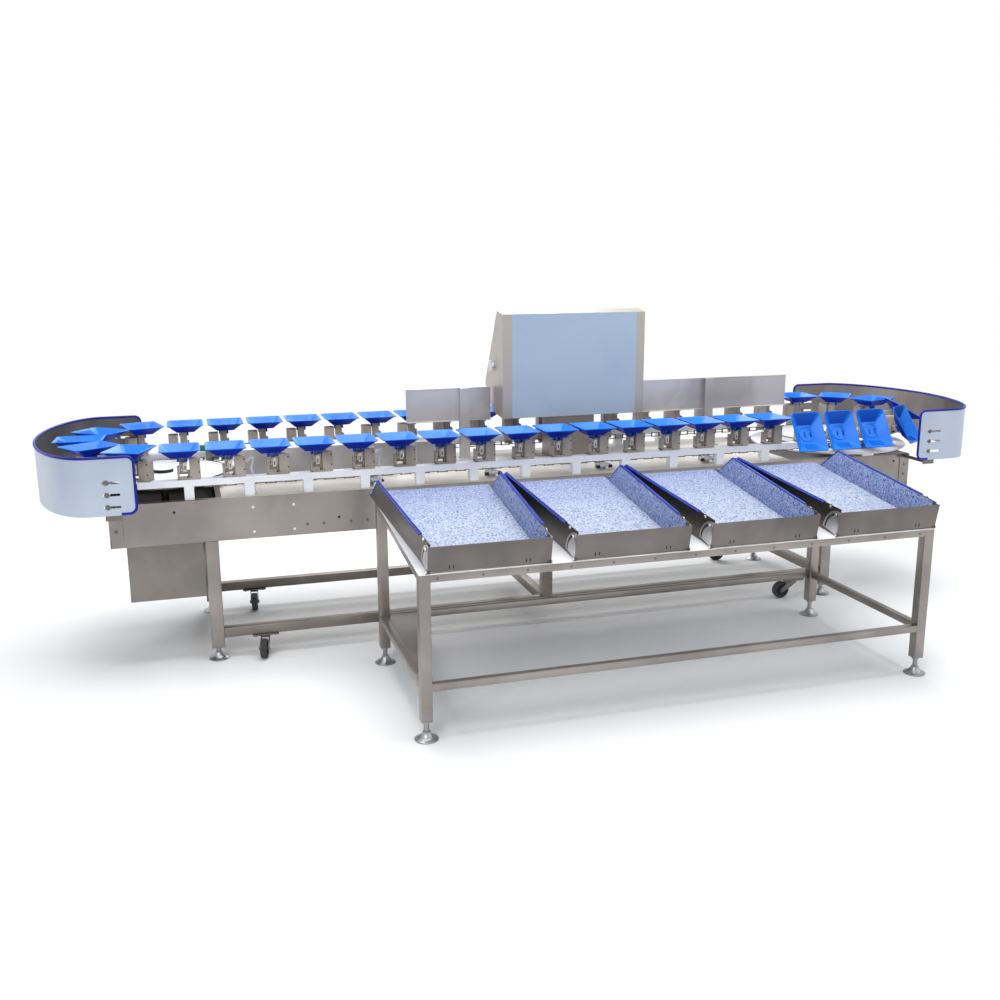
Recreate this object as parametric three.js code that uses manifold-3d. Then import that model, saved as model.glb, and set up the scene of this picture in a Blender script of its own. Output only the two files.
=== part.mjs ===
// Weight sorting machine: a closed loop of tipping trays on a long frame, with four outlet chutes
// on a bench in front of it. Millimetres, +X along the machine, +Y away from the bench, +Z up.
import * as THREE from 'three';
import { mergeVertices } from 'three/addons/utils/BufferGeometryUtils.js';
import Module from 'manifold-3d';

const wasm = await Module();
wasm.setup();

// Fits and small sizes that many pieces share.
const GAP = 0.4;
const BEARING_GAP = 1.2;
const BITE = 1;
const WELD = 0.0001;
const ROUND_SIDES = 12;
const TYRE_SIDES = 16;
const BIG_ROUND_SIDES = 36;
const BOLT_SIDES = 8;
const HALF_TURN = Math.PI;
const DEG = Math.PI / 180;

// The loop of trays: a front row, a rear row and a half circle at each end.
const PITCH = 165;
const TRAYS = 47;
const END_PITCHES = 5;
const CHAIN_R = END_PITCHES * PITCH / HALF_TURN;
const RUN = (TRAYS - 2 * END_PITCHES) * PITCH / 2;
const LOOP_X = 197;
const FAR_X = LOOP_X + RUN;
const FRAME_DEPTH = 658;
const LOOP_Y = FRAME_DEPTH / 2;
const FRONT_CHAIN_Y = LOOP_Y - CHAIN_R;
const REAR_CHAIN_Y = LOOP_Y + CHAIN_R;
const FIRST_TRAY = 68;
const CHAIN_T = 10;
const CHAIN_LOW = 676;
const CHAIN_HIGH = 700;
const CHAIN_SPLIT_S = 109;
const CHAIN_SPLIT_GAP = 0.5;
const FRONT_TRAYS = 23;

// Main frame of the machine, which reaches a little past the far wheel.
const END_ROOM = 216.5;
const FRAME_LENGTH = FAR_X + END_ROOM;
const FRAME_TOP = 642;
const FRAME_BOTTOM = 479;
const SHEET = 3;
const TOP_FLANGE = 35;
const BOTTOM_FLANGE = 30;
const CORNER_RETURN = 46;
const CORNER_LIFT = 33;
const SHELF_Z = 547;
const SHELF_TO = 280;
const HOLE_R = 4;
const HOLE_ROW_HIGH = 602;
const HOLE_ROW_LOW = 505;
const HOLE_SENSOR_Z = 539;
const HOLE_FIRST_X = 230;
const HOLE_PAIR_X = [519, 672];
const HOLE_SENSOR_X = 845;
const DECK_SHEET = 2;
const DECK_FROM = 405;
const DECK_TO = FAR_X - 389.5;

// Legs and low rails of the machine.
const LEG = 50;
const LEG_LEFT_X = 334;
const LEG_RIGHT_X = FRAME_LENGTH - 427;
const LEG_INSET = 2;
const LEG_FOOT_Z = 48;
const RAIL_TUBE = 38;
const RAIL_LOW_Z = 87;
const MID_POST_X = 1692;
const MID_POST = 44;
const FOOT_STEM_R = 8;
const FOOT_PAD_R = 40;
const FOOT_RIM = 4;
const FOOT_BELL_R = 25;
const FOOT_BELL_Z = 12;
const FOOT_NECK_R = 13;
const FOOT_NECK_Z = 24;

// Casters under the low rails.
const CASTER_X = [LEG_LEFT_X + 207, LEG_RIGHT_X - 135];
const CASTER_TURNS = [-12 * DEG, -4 * DEG, -90 * DEG, -133 * DEG];
const CASTER_PLATE = 100;
const CASTER_PLATE_W = 62;
const CASTER_PLATE_T = 4;
const CASTER_TRAIL = 52;
const CASTER_R = 38;
const CASTER_WHEEL_W = 26;
const CASTER_LIFT = 1;
const CASTER_CHEEK = 3;
const CASTER_CHEEK_GAP = 1;
const CASTER_AXLE_R = 4;
const CASTER_HEAD_R = 20;
const CASTER_HEAD_H = 7;

// Rails that the carriers ride on, with the blocks that hold them up.
const RIDE_TOP = 720;
const RIDE_T = 26;
const RIDE_IN = 16;
const RIDE_OUT = 52;
const RIDE_FROM = 107;
const RIDE_TO = FAR_X - 344.5;
const BLOCK_FIRST = 272;
const BLOCK_PITCH = 222;
const BLOCK_COUNT = 12;
const BLOCK_W = 36;

// Carrier: n runs outwards from the chain line, s runs along it from the tray's middle.
const CARRIER_LOW = 720.5;
const CARRIER_BASE_TOP = 727;
const CARRIER_TOP = 800;
const CARRIER_N_IN = 8;
const CARRIER_N_OUT = 49;
const PLATE_S = [32, 71];
const BASE_N_OUT = 47;
const WEB_S = [34, 71];
const WEB_N = [-1, 9];
const WEB_LOW = 684;
const LUG_LEFT_S = [-13, -5];
const LUG_RIGHT_S = [24, 33];
const LUG_N = [10, 32];
const LUG_TOP = 752;
const COLUMN_TOP = 770;
const CLEAR = 1.5;
const PIVOT_N = 21;
const PIVOT_Z = 744;
const PIVOT_R = 3;
const HUB_R = 6.9;

// Tray and the arm under it.
const TRAY_W = 148;
const TRAY_L = 186;
const TRAY_CUT = 18;
const TRAY_N = 41;
const TRAY_RIM_Z = 845;
const TRAY_LOW_Z = 810;
const TRAY_WALL = 2.5;
const PAN_FLOOR_W = 74;
const PAN_FLOOR_L = 88;
const PAN_FLOOR_CUT = 10;
const ARM_SIDE_GAP = 0.5;
const ARM_HALF = 6.6;
const ARM_RISE = 12;
const ARM_TOP_N = [24, 56];
const ARM_NECK = 20;
const TIP_ANGLE = 59 * DEG;
const HALF_TIP_ANGLE = 30 * DEG;
const OUTLET_TRAYS = [6, 9, 12, 15];
const TIPPED_TRAYS = [16, 17, 18, 19];
const HALF_TIPPED_TRAY = 20;

// Wheels that the chain turns on.
const WHEEL_GAP = 1.2;
const WHEEL_LOW = 677;
const WHEEL_HIGH = 699;
const WHEEL_WEB_HIGH = 694;
const WHEEL_RIM = 22;
const WHEEL_HUB_R = 38;
const WHEEL_CAP_TOP = 712;
const SHAFT_R = 15;
const SHAFT_DEEP = 30;
const END_DISC_R = 356;
const END_DISC_Z = [656, 664];
const END_SEAT_Z = 642.2;
const END_SEAT_W = 60;
const END_BOSS_R = 60;
const END_BOSS_TOP = 676.4;

// Gear motor and the box under the drive end.
const BOX_X = [52, 328];
const BOX_Y = [8, 560];
const BOX_Z = [263, 478.6];
const BOX_WALL = 2;
const GEAR_W = 120;
const GEAR_D = 150;
const GEAR_TOP = 450;
const GEAR_FOOT = 20;
const GEAR_BOSS_R = 34;
const GEAR_BOSS_TOP = 540;
const MOTOR_R = 58;
const MOTOR_LENGTH = 190;
const MOTOR_Z = 370;

// Curved guards round both ends.
const GUARD_LOW = 645;
const GUARD_LEFT_TOP = 854;
const GUARD_RIGHT_TOP = 864;
const GUARD_SHEET = 2;
const GUARD_HALF = 503;
const GUARD_LEFT_X = -50;
const GUARD_LEFT_REACH = 210;
const GUARD_LEFT_FLANK = 153;
const GUARD_RIGHT_X = FRAME_LENGTH + 93;
const GUARD_RIGHT_REACH = 235;
const GUARD_RIGHT_FLANK = 179;
const GUARD_STEPS = 20;
const GUARD_SQUARE = 1.9;
const GUARD_RIGHT_SQUARE = 1.8;
const BEAD_W = 10;
const BEAD_H = 11;
const SLOT_COUNT = 3;
const SLOT_STEP = 44;
const SLOT_LEFT_Z = 676;
const SLOT_LEFT_FROM = 46;
const SLOT_RIGHT_Z = 684;
const SLOT_RIGHT_FROM = 37;
const SLOT_LEFT_LENGTH = 58;
const SLOT_RIGHT_LENGTH = 70;
const SLOT_H = 9;
const SLOT_DEEP = 40;
const BRACKET_T = 4;
const BRACKET_H = 14;
const BRACKET_HALF = 28;
const BRACKET_Z = 640;
const BRACKET_IN = 29;
const BRACKET_TIP = 20;

// Cabinet, its post and the rear screens.
const CAB_X = [1618, 2280];
const CAB_BACK_Y = LOOP_Y + 1;
const CAB_BACK_Z = [841, 1290];
const CAB_KNEE_Y = LOOP_Y + 161;
const CAB_KNEE_Z = 856;
const CAB_NOSE_Y = LOOP_Y + 271;
const CAB_NOSE_Z = 966;
const CAB_CROWN_Y = LOOP_Y + 79;
const CAB_CROWN_Z = 1302;
const CAB_SIDE = [[CAB_BACK_Y, CAB_BACK_Z[0]], [CAB_KNEE_Y, CAB_KNEE_Z], [CAB_NOSE_Y, CAB_NOSE_Z],
  [CAB_CROWN_Y, CAB_CROWN_Z], [CAB_BACK_Y, CAB_BACK_Z[1]]];
const CAB_WALL = 2;
const CAB_LIP = 24;
const DOOR_T = 3;
const DOOR_GAP = 2;
const DOOR_EDGE = 6;
const DOOR_HINGE_R = 5;
const SCREEN_W = 250;
const SCREEN_H_SHARE = 0.4134;
const SCREEN_T = 6;
const SCREEN_DOWN_SHARE = 0.2842;
const BUTTON_R = 11;
const STOP_R = 20;
const BUTTON_OUT = 8;
const STOP_OUT = 22;
const STEM_R = 7;
const STEM_IN = 14;
const BUTTON_DOWN_SHARE = 0.7365;
const BUTTON_STEP = 90;
const LATCH_Y = LOOP_Y + 141;
const LATCH_UP_SHARE = 94 / 336;
const LATCH_Z = CAB_NOSE_Z + (CAB_CROWN_Z - CAB_NOSE_Z) * LATCH_UP_SHARE;
const LATCH_R = 12;
const LATCH_T = 10;
const LATCH_HANDLE = 48;
const LATCH_HANDLE_W = 14;
const PEDESTAL_X = [1850, 2050];
const PEDESTAL_Y = [LOOP_Y + 16, LOOP_Y + 146];
const PEDESTAL_FLANGE = 25;
const SCREEN_Y = LOOP_Y + 163;
const PANEL_Z = [818, 966];
const PANEL_LEFT = [1225, 1610];
const PANEL_RIGHT = [2288, 3109];
const PANEL_SHEET = 2;
const PANEL_FOLD = 14;
const POST_LEFT_X = 1464;
const POST_RIGHT_X = 2665;
const POST_W = 44;
const POST_FOOT = 90;
const POST_FOOT_T = 5;
const POST_DROP = 2;

// Covers and the weigh unit on the deck.
const COVER_X = [492, 1129];
const COVER_Y = [LOOP_Y - 89, LOOP_Y + 91];
const COVER_TOP = 782;
const COVER_EAVE = 40;
const COVER_SHEET = 2;
const SMALL_COVER_X = [1216, 1308];
const SMALL_COVER_Y = [LOOP_Y - 79, LOOP_Y + 21];
const SMALL_COVER_TOP = 776;
const WEIGH_X = [700, 860];
const WEIGH_Y = [REAR_CHAIN_Y - 120, REAR_CHAIN_Y - 20];
const WEIGH_TOP = 690;
const WEIGH_CELL_X = [720, 840];
const WEIGH_CELL_Y = [REAR_CHAIN_Y - 90, REAR_CHAIN_Y - 50];
const WEIGH_CELL_TOP = 722;

// Trippers that release the trays.
const TRIPPER_X = [1003, 1495, 1987, 2479];
const TRIPPER_BASE_Y = [FRONT_CHAIN_Y + 22, FRONT_CHAIN_Y + 62];
const TRIPPER_BASE_W = 36;
const TRIPPER_Y = [FRONT_CHAIN_Y + 26, FRONT_CHAIN_Y + 38];
const TRIPPER_W = 12;
const TRIPPER_PIVOT_Z = 700;
const TRIPPER_TOP = 790;
const TRIPPER_PIN_R = 3;
const TRIPPER_EAR = 6;
const TRIPPER_BASE_TOP = 672;

// Bench in front of the machine.
const BENCH_X = 953;
const BENCH_W = 1914;
const BENCH_Y = -937;
const BENCH_D = 740;
const BENCH_TOP = 560;
const SLOPE = 0.105;
const BENCH_LEG = 38;
const BENCH_LEG_Z = 64;
const BENCH_TUBE = 25;
const BENCH_STEP = 1;
const BENCH_LOW_Z = [169, 195];
const BENCH_SHEET = 2;
const LEDGE_W = 120;
const LEDGE_FRONT_W = 16;
const LEDGE_T = 3;

// Chutes on the bench, and their gates.
const CHUTE_PITCH = 492;
const CHUTE_FIRST_X = BENCH_X + 234;
const CHUTE_COUNT = 4;
const CHUTE_BACK_Y = -148;
const CHUTE_FRONT_Y = -930;
const CHUTE_BACK_W = 482;
const CHUTE_LIP = 45;
const CHUTE_FRONT_W = 396;
const CHUTE_SHEET = 2;
const CHUTE_WALL_H = 100;
const CHUTE_PEAK = 122;
const GATE_H = 88;
const GATE_LEAN = 5.5 * DEG;
const GATE_SHEET = 2;
const GATE_FRONT = 1;
const GATE_PIN_UP = 6;
const GATE_LIP = 2;
const GATE_LIP_IN = 5;
const GATE_EAR_R = 86;
const GATE_EDGE = 0.5;
const GATE_EAR_LOW = 4;
const GATE_EAR_FROM = -5 * DEG;
const GATE_SLOT_R = 74;
const GATE_SLOT_HALF = 4.5;
const GATE_SLOT_FROM = 0.5 * DEG;
const GATE_SLOT_TO = 78.5 * DEG;
const GATE_BOLT_R = 3.5;
const GATE_BOLT_AT = 80 * DEG;
const GATE_BOLT_OUT = 10;
const GATE_PIN_R = 2.5;
const GATE_BOSS_R = 5;
const GATE_STEPS = 7;

// Materials as the photograph shows them.
const steel = { color: 0xaaa49c, roughness: 0.34, metalness: 0.85 };
const filmed = { color: 0xc3d2e0, roughness: 0.3, metalness: 0.25 };
const whitePlastic = { color: 0xe6ebf4, roughness: 0.5, metalness: 0 };
const creamPlastic = { color: 0xcdc3af, roughness: 0.55, metalness: 0 };
const bluePlastic = { color: 0x1c54d6, roughness: 0.38, metalness: 0 };
const creamSheet = { color: 0xdcd7cd, roughness: 0.45, metalness: 0.1 };
const darkPaint = { color: 0x2b2d31, roughness: 0.6, metalness: 0.2 };
const rubber = { color: 0x2a2a2c, roughness: 0.8, metalness: 0 };
const feltBlue = { color: 0xb4c3e6, roughness: 0.95, metalness: 0 };
const redPlastic = { color: 0xc81e1e, roughness: 0.4, metalness: 0 };
const greenPlastic = { color: 0x1f9a45, roughness: 0.4, metalness: 0 };
const glass = { color: 0x16191d, roughness: 0.12, metalness: 0 };

// Turns a closed three.js geometry into a solid that can be joined or cut.
function toSolid(geometry) {
  const bare = geometry.index ? geometry.toNonIndexed() : geometry.clone();
  for (const name of Object.keys(bare.attributes)) {
    if (name !== 'position') {
      bare.deleteAttribute(name);
    }
  }
  const welded = mergeVertices(bare, WELD);
  const points = welded.attributes.position.array;
  const index = welded.index.array;
  const kept = [];
  let volume = 0;
  for (let i = 0; i < index.length; i += 3) {
    const [a, b, c] = [index[i], index[i + 1], index[i + 2]];
    if (a !== b && b !== c && a !== c) {
      kept.push([a, b, c]);
      volume += signedVolume(points, a, b, c);
    }
  }
  const outward = kept.flatMap(([a, b, c]) => (volume < 0 ? [a, c, b] : [a, b, c]));
  const mesh = new wasm.Mesh({
    numProp: 3,
    vertProperties: Float32Array.from(points),
    triVerts: Uint32Array.from(outward),
  });
  return new wasm.Manifold(mesh);
}

function signedVolume(points, a, b, c) {
  const p = new THREE.Vector3().fromArray(points, 3 * a);
  const q = new THREE.Vector3().fromArray(points, 3 * b);
  const r = new THREE.Vector3().fromArray(points, 3 * c);
  return p.dot(q.cross(r));
}

function fromSolid(solid) {
  const mesh = solid.getMesh();
  const geometry = new THREE.BufferGeometry();
  const stride = mesh.numProp;
  const count = mesh.vertProperties.length / stride;
  const points = new Float32Array(3 * count);
  for (let i = 0; i < count; i += 1) {
    points.set(mesh.vertProperties.subarray(stride * i, stride * i + 3), 3 * i);
  }
  geometry.setAttribute('position', new THREE.BufferAttribute(points, 3));
  geometry.setIndex(Array.from(mesh.triVerts));
  return geometry;
}

// Joins every shape in the first list, then cuts away every shape in the second.
function join(shapes, cuts = []) {
  let solid = toSolid(shapes[0]);
  for (const shape of shapes.slice(1)) {
    solid = solid.add(toSolid(shape));
  }
  for (const cut of cuts) {
    solid = solid.subtract(toSolid(cut));
  }
  return fromSolid(solid);
}

// Joins a long list in pairs, which stays quick for many small shapes.
function joinMany(shapes) {
  let solids = shapes.map(toSolid);
  while (solids.length > 1) {
    const next = [];
    for (let i = 0; i < solids.length; i += 2) {
      next.push(i + 1 < solids.length ? solids[i].add(solids[i + 1]) : solids[i]);
    }
    solids = next;
  }
  return fromSolid(solids[0]);
}

function box(x0, x1, y0, y1, z0, z1) {
  const geometry = new THREE.BoxGeometry(x1 - x0, y1 - y0, z1 - z0);
  geometry.translate((x0 + x1) / 2, (y0 + y1) / 2, (z0 + z1) / 2);
  return geometry;
}

// A round bar along one axis, from one end to the other.
function bar(axis, radius, from, to, a, b, sides = ROUND_SIDES) {
  const geometry = new THREE.CylinderGeometry(radius, radius, to - from, sides);
  const middle = (from + to) / 2;
  if (axis === 'x') {
    geometry.rotateZ(HALF_TURN / 2);
    geometry.translate(middle, a, b);
  } else if (axis === 'y') {
    geometry.translate(a, middle, b);
  } else {
    geometry.rotateX(HALF_TURN / 2);
    geometry.translate(a, b, middle);
  }
  return geometry;
}

// A body turned about a vertical line, from a closed profile of [radius, height] pairs.
function turned(profile, x, y, sides = ROUND_SIDES) {
  const points = profile.map(([r, z]) => new THREE.Vector2(r, z));
  const geometry = new THREE.LatheGeometry(points, sides);
  geometry.rotateX(HALF_TURN / 2);
  geometry.translate(x, y, 0);
  return geometry;
}

// A flat outline in Y and Z, pushed along X.
function pushedX(outline, x0, x1) {
  const shape = new THREE.Shape(outline.map(([y, z]) => new THREE.Vector2(y, z)));
  const geometry = new THREE.ExtrudeGeometry(shape, { depth: x1 - x0, bevelEnabled: false });
  const turn = new THREE.Matrix4().set(0, 0, 1, x0, 1, 0, 0, 0, 0, 1, 0, 0, 0, 0, 0, 1);
  geometry.applyMatrix4(turn);
  return geometry;
}

// A flat outline in X and Y, pushed up Z.
function pushedZ(outline, z0, z1) {
  const shape = new THREE.Shape(outline.map(([x, y]) => new THREE.Vector2(x, y)));
  const geometry = new THREE.ExtrudeGeometry(shape, { depth: z1 - z0, bevelEnabled: false });
  geometry.translate(0, 0, z0);
  return geometry;
}

// A closed skin through rings of equal point counts, with a lid on the first and last ring.
function rings(list) {
  const count = list[0].length;
  const triangles = [];
  for (let r = 0; r + 1 < list.length; r += 1) {
    for (let i = 0; i < count; i += 1) {
      const j = (i + 1) % count;
      triangles.push(list[r][i], list[r][j], list[r + 1][j]);
      triangles.push(list[r][i], list[r + 1][j], list[r + 1][i]);
    }
  }
  const first = list[0];
  const last = list[list.length - 1];
  for (let i = 1; i + 1 < count; i += 1) {
    triangles.push(first[0], first[i + 1], first[i]);
    triangles.push(last[0], last[i], last[i + 1]);
  }
  const geometry = new THREE.BufferGeometry();
  geometry.setAttribute('position', new THREE.Float32BufferAttribute(triangles.flat(), 3));
  return geometry;
}

// An eight-sided ring: a rectangle with its corners cut.
function cutRing(width, length, cut, x, y, z) {
  const a = width / 2;
  const b = length / 2;
  const corners = [
    [a, cut - b], [a, b - cut], [a - cut, b], [cut - a, b],
    [-a, b - cut], [-a, cut - b], [cut - a, -b], [a - cut, -b],
  ];
  return corners.map(([u, v]) => [x + u, y + v, z]);
}

const root = new THREE.Group();

function put(name, geometry, look) {
  const shown = geometry.index ? geometry.toNonIndexed() : geometry;
  shown.computeVertexNormals();
  const mesh = new THREE.Mesh(shown, new THREE.MeshStandardMaterial(look));
  mesh.name = name;
  root.add(mesh);
}

// Long side beams, folded from sheet, with the holes of the front one.
function beam(front) {
  const outer = front ? 0 : FRAME_DEPTH;
  const inward = front ? 1 : -1;
  const [x0, x1] = [GAP, FRAME_LENGTH - GAP];
  const span = (a, b) => [Math.min(outer + inward * a, outer + inward * b),
    Math.max(outer + inward * a, outer + inward * b)];
  const web = box(x0, x1, ...span(0, SHEET), FRAME_BOTTOM, FRAME_TOP);
  const top = box(x0, x1, ...span(0, TOP_FLANGE), FRAME_TOP - SHEET, FRAME_TOP);
  const low = box(x0, x1, ...span(0, BOTTOM_FLANGE), FRAME_BOTTOM, FRAME_BOTTOM + SHEET);
  return join([web, top, low], front ? beamHoles() : []);
}

function beamHoles() {
  const rows = [HOLE_ROW_HIGH, HOLE_ROW_LOW];
  const places = HOLE_PAIR_X.flatMap((x) => rows.map((z) => [x, z]));
  places.push([HOLE_FIRST_X, HOLE_ROW_HIGH], [HOLE_SENSOR_X, HOLE_SENSOR_Z]);
  return places.map(([x, z]) => bar('y', HOLE_R, -BITE, SHEET + BITE, x, z, BOLT_SIDES));
}

// End plates wrap round the corners of the beams; the left one has the shelf for the drive shaft.
function endPlate(left) {
  const edge = left ? 0 : FRAME_LENGTH;
  const outer = left ? -SHEET : FRAME_LENGTH + SHEET;
  const inner = left ? CORNER_RETURN : FRAME_LENGTH - CORNER_RETURN;
  const outline = [
    [outer, -SHEET], [inner, -SHEET], [inner, -GAP / 2], [edge, -GAP / 2],
    [edge, FRAME_DEPTH + GAP / 2], [inner, FRAME_DEPTH + GAP / 2], [inner, FRAME_DEPTH + SHEET],
    [outer, FRAME_DEPTH + SHEET],
  ];
  const plate = pushedZ(outline, FRAME_BOTTOM, FRAME_TOP);
  const bare = [[-SHEET - BITE, -GAP / 2 + BITE], [FRAME_DEPTH + GAP / 2 - BITE, FRAME_DEPTH + SHEET + BITE]];
  const [bareFrom, bareTo] = left ? [edge, inner + BITE] : [inner - BITE, edge];
  const cuts = bare.map(([y0, y1]) => box(bareFrom, bareTo, y0, y1, FRAME_BOTTOM - BITE, FRAME_BOTTOM + CORNER_LIFT));
  if (!left) {
    return join([plate], cuts);
  }
  const [y0, y1] = [SHEET + GAP, FRAME_DEPTH - SHEET - GAP];
  const shelf = box(-BITE, SHELF_TO, y0, y1, SHELF_Z, SHELF_Z + 2 * SHEET);
  const bore = bar('z', SHAFT_R + BEARING_GAP, SHELF_Z - BITE, SHELF_Z + 3 * SHEET, LOOP_X, LOOP_Y);
  return join([plate, shelf], [bore, ...cuts]);
}

function deck() {
  const [y0, y1] = [SHEET + GAP, FRAME_DEPTH - SHEET - GAP];
  return box(DECK_FROM, DECK_TO, y0, y1, FRAME_TOP, FRAME_TOP + DECK_SHEET);
}

// Levelling foot: a bell pad on a threaded stem that goes up into the leg.
function foot(x, y, legZ) {
  const profile = [
    [0, 0], [FOOT_PAD_R, 0], [FOOT_PAD_R, FOOT_RIM], [FOOT_BELL_R, FOOT_BELL_Z],
    [FOOT_NECK_R, FOOT_NECK_Z], [FOOT_STEM_R, FOOT_NECK_Z], [FOOT_STEM_R, legZ + BITE], [0, legZ + BITE],
  ];
  return turned(profile, x, y);
}

// Legs, low rails, cross rails and middle posts of the machine, welded into one stand.
function stand() {
  const parts = [];
  const rowsY = [LEG_INSET, FRAME_DEPTH - LEG_INSET - LEG];
  const railTop = RAIL_LOW_Z + RAIL_TUBE;
  const inset = (LEG - RAIL_TUBE) / 2;
  for (const y of rowsY) {
    for (const x of [LEG_LEFT_X, LEG_RIGHT_X]) {
      parts.push(box(x, x + LEG, y, y + LEG, LEG_FOOT_Z, FRAME_BOTTOM - GAP));
      parts.push(foot(x + LEG / 2, y + LEG / 2, LEG_FOOT_Z));
    }
    const [y0, y1] = [y + inset, y + inset + RAIL_TUBE];
    parts.push(box(LEG_LEFT_X + LEG - BITE, LEG_RIGHT_X + BITE, y0, y1, RAIL_LOW_Z, railTop));
    const postY = y + (LEG - MID_POST) / 2;
    parts.push(box(MID_POST_X, MID_POST_X + MID_POST, postY, postY + MID_POST,
      railTop - BITE, FRAME_BOTTOM - GAP));
    for (const x of CASTER_X) {
      parts.push(casterPlate(x, y + LEG / 2));
    }
  }
  const crossX = [LEG_LEFT_X + inset, MID_POST_X + (MID_POST - RAIL_TUBE) / 2, LEG_RIGHT_X + inset];
  for (const x of crossX) {
    parts.push(box(x, x + RAIL_TUBE, rowsY[0] + LEG - inset - BITE, rowsY[1] + inset + BITE,
      RAIL_LOW_Z, railTop));
  }
  return join(parts);
}

function casterPlate(x, y) {
  const [a, b] = [CASTER_PLATE / 2, CASTER_PLATE_W / 2];
  return box(x - a, x + a, y - b, y + b, RAIL_LOW_Z - CASTER_PLATE_T, RAIL_LOW_Z + BITE);
}

// Turns a caster's part about its swivel line and moves it to its place.
function swivelled(geometry, x, y, turn) {
  const placed = geometry.clone();
  placed.rotateZ(turn);
  placed.translate(x, y, 0);
  return placed;
}

// Swivel fork: a round head, a crown and two slanting cheeks with the axle behind the swivel line.
function casterFork(x, y, turn) {
  const top = RAIL_LOW_Z - CASTER_PLATE_T - GAP;
  const crown = top - CASTER_HEAD_H;
  const inner = CASTER_WHEEL_W / 2 + CASTER_CHEEK_GAP;
  const outer = inner + CASTER_CHEEK;
  const axleZ = CASTER_R + CASTER_LIFT;
  const axleY = -CASTER_TRAIL;
  const head = bar('z', CASTER_HEAD_R, crown, top, 0, 0);
  const plate = box(-outer, outer, -CASTER_HEAD_R, CASTER_HEAD_R, crown - CASTER_CHEEK, crown + BITE);
  const end = 2 * CASTER_AXLE_R;
  const side = [[CASTER_HEAD_R, crown], [-CASTER_HEAD_R, crown], [axleY - end, axleZ + end],
    [axleY - end, axleZ - end], [axleY + end, axleZ - end]];
  const axle = bar('x', CASTER_AXLE_R, -outer - BITE, outer + BITE, axleY, axleZ, BOLT_SIDES);
  const fork = join([head, plate, pushedX(side, -outer, -inner), pushedX(side, inner, outer), axle]);
  return swivelled(fork, x, y, turn);
}

function casterWheel(x, y, turn) {
  const half = CASTER_WHEEL_W / 2;
  const bore = CASTER_AXLE_R + GAP;
  const soft = CASTER_CHEEK_GAP * 3;
  const profile = [[bore, -half], [CASTER_R - soft, -half], [CASTER_R, soft - half],
    [CASTER_R, half - soft], [CASTER_R - soft, half], [bore, half], [bore, -half]];
  const points = profile.map(([r, s]) => new THREE.Vector2(r, s));
  const geometry = new THREE.LatheGeometry(points, TYRE_SIDES);
  geometry.rotateZ(HALF_TURN / 2);
  geometry.translate(0, -CASTER_TRAIL, CASTER_R + CASTER_LIFT);
  return swivelled(join([geometry]), x, y, turn);
}

// Place at a way round the loop: where the frame there sits and how far it has turned.
function loopAt(start) {
  const half = HALF_TURN * CHAIN_R;
  const total = 2 * RUN + 2 * half;
  let way = (start + total) % total;
  if (way <= RUN) {
    return { x: LOOP_X + way, turn: 0 };
  }
  way -= RUN;
  if (way < half) {
    return { x: LOOP_X + RUN, turn: way / CHAIN_R };
  }
  way -= half;
  if (way <= RUN) {
    return { x: LOOP_X + RUN - way, turn: HALF_TURN };
  }
  way -= RUN;
  return { x: LOOP_X, turn: HALF_TURN + way / CHAIN_R };
}

function placeOnLoop(geometry, index) {
  const { x, turn } = loopAt(FIRST_TRAY + index * PITCH);
  const placed = geometry.clone();
  placed.rotateZ(turn);
  placed.translate(x, LOOP_Y, 0);
  return placed;
}

// In the loop frame the chain line lies at y = -CHAIN_R, so an outward distance n is at -CHAIN_R - n.
function outBox(s, n, z) {
  return box(s[0], s[1], -CHAIN_R - n[1], -CHAIN_R - n[0], z[0], z[1]);
}

function outOutline(points) {
  return points.map(([n, z]) => [-CHAIN_R - n, z]);
}

// Carrier: a base, a side plate over a web to the chain, a column, and the hinge of the tray's arm.
// A pinned one has two lugs and a pin; on a plain one the hinge is closed by the arm's hub.
function carrier(pinned) {
  const base = outBox([LUG_LEFT_S[0], PLATE_S[0] + BITE], [CARRIER_N_IN, BASE_N_OUT], [CARRIER_LOW, CARRIER_BASE_TOP]);
  const plate = outBox(PLATE_S, [WEB_N[0], CARRIER_N_OUT], [CARRIER_LOW, CARRIER_TOP]);
  const web = outBox(WEB_S, WEB_N, [WEB_LOW, CARRIER_LOW + BITE]);
  const column = outBox(LUG_LEFT_S, [LUG_N[0], BASE_N_OUT], [CARRIER_LOW, COLUMN_TOP]);
  if (!pinned) {
    const hinge = outBox([LUG_LEFT_S[0], LUG_RIGHT_S[1]], LUG_N, [CARRIER_LOW, LUG_TOP]);
    return join([base, plate, web, column, hinge]);
  }
  const lug = outBox(LUG_RIGHT_S, LUG_N, [CARRIER_LOW, LUG_TOP]);
  const pin = bar('x', PIVOT_R, LUG_LEFT_S[1] - BITE, LUG_RIGHT_S[0] + BITE, -CHAIN_R - PIVOT_N, PIVOT_Z,
    BOLT_SIDES);
  return join([base, plate, web, column, lug, pin]);
}

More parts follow.
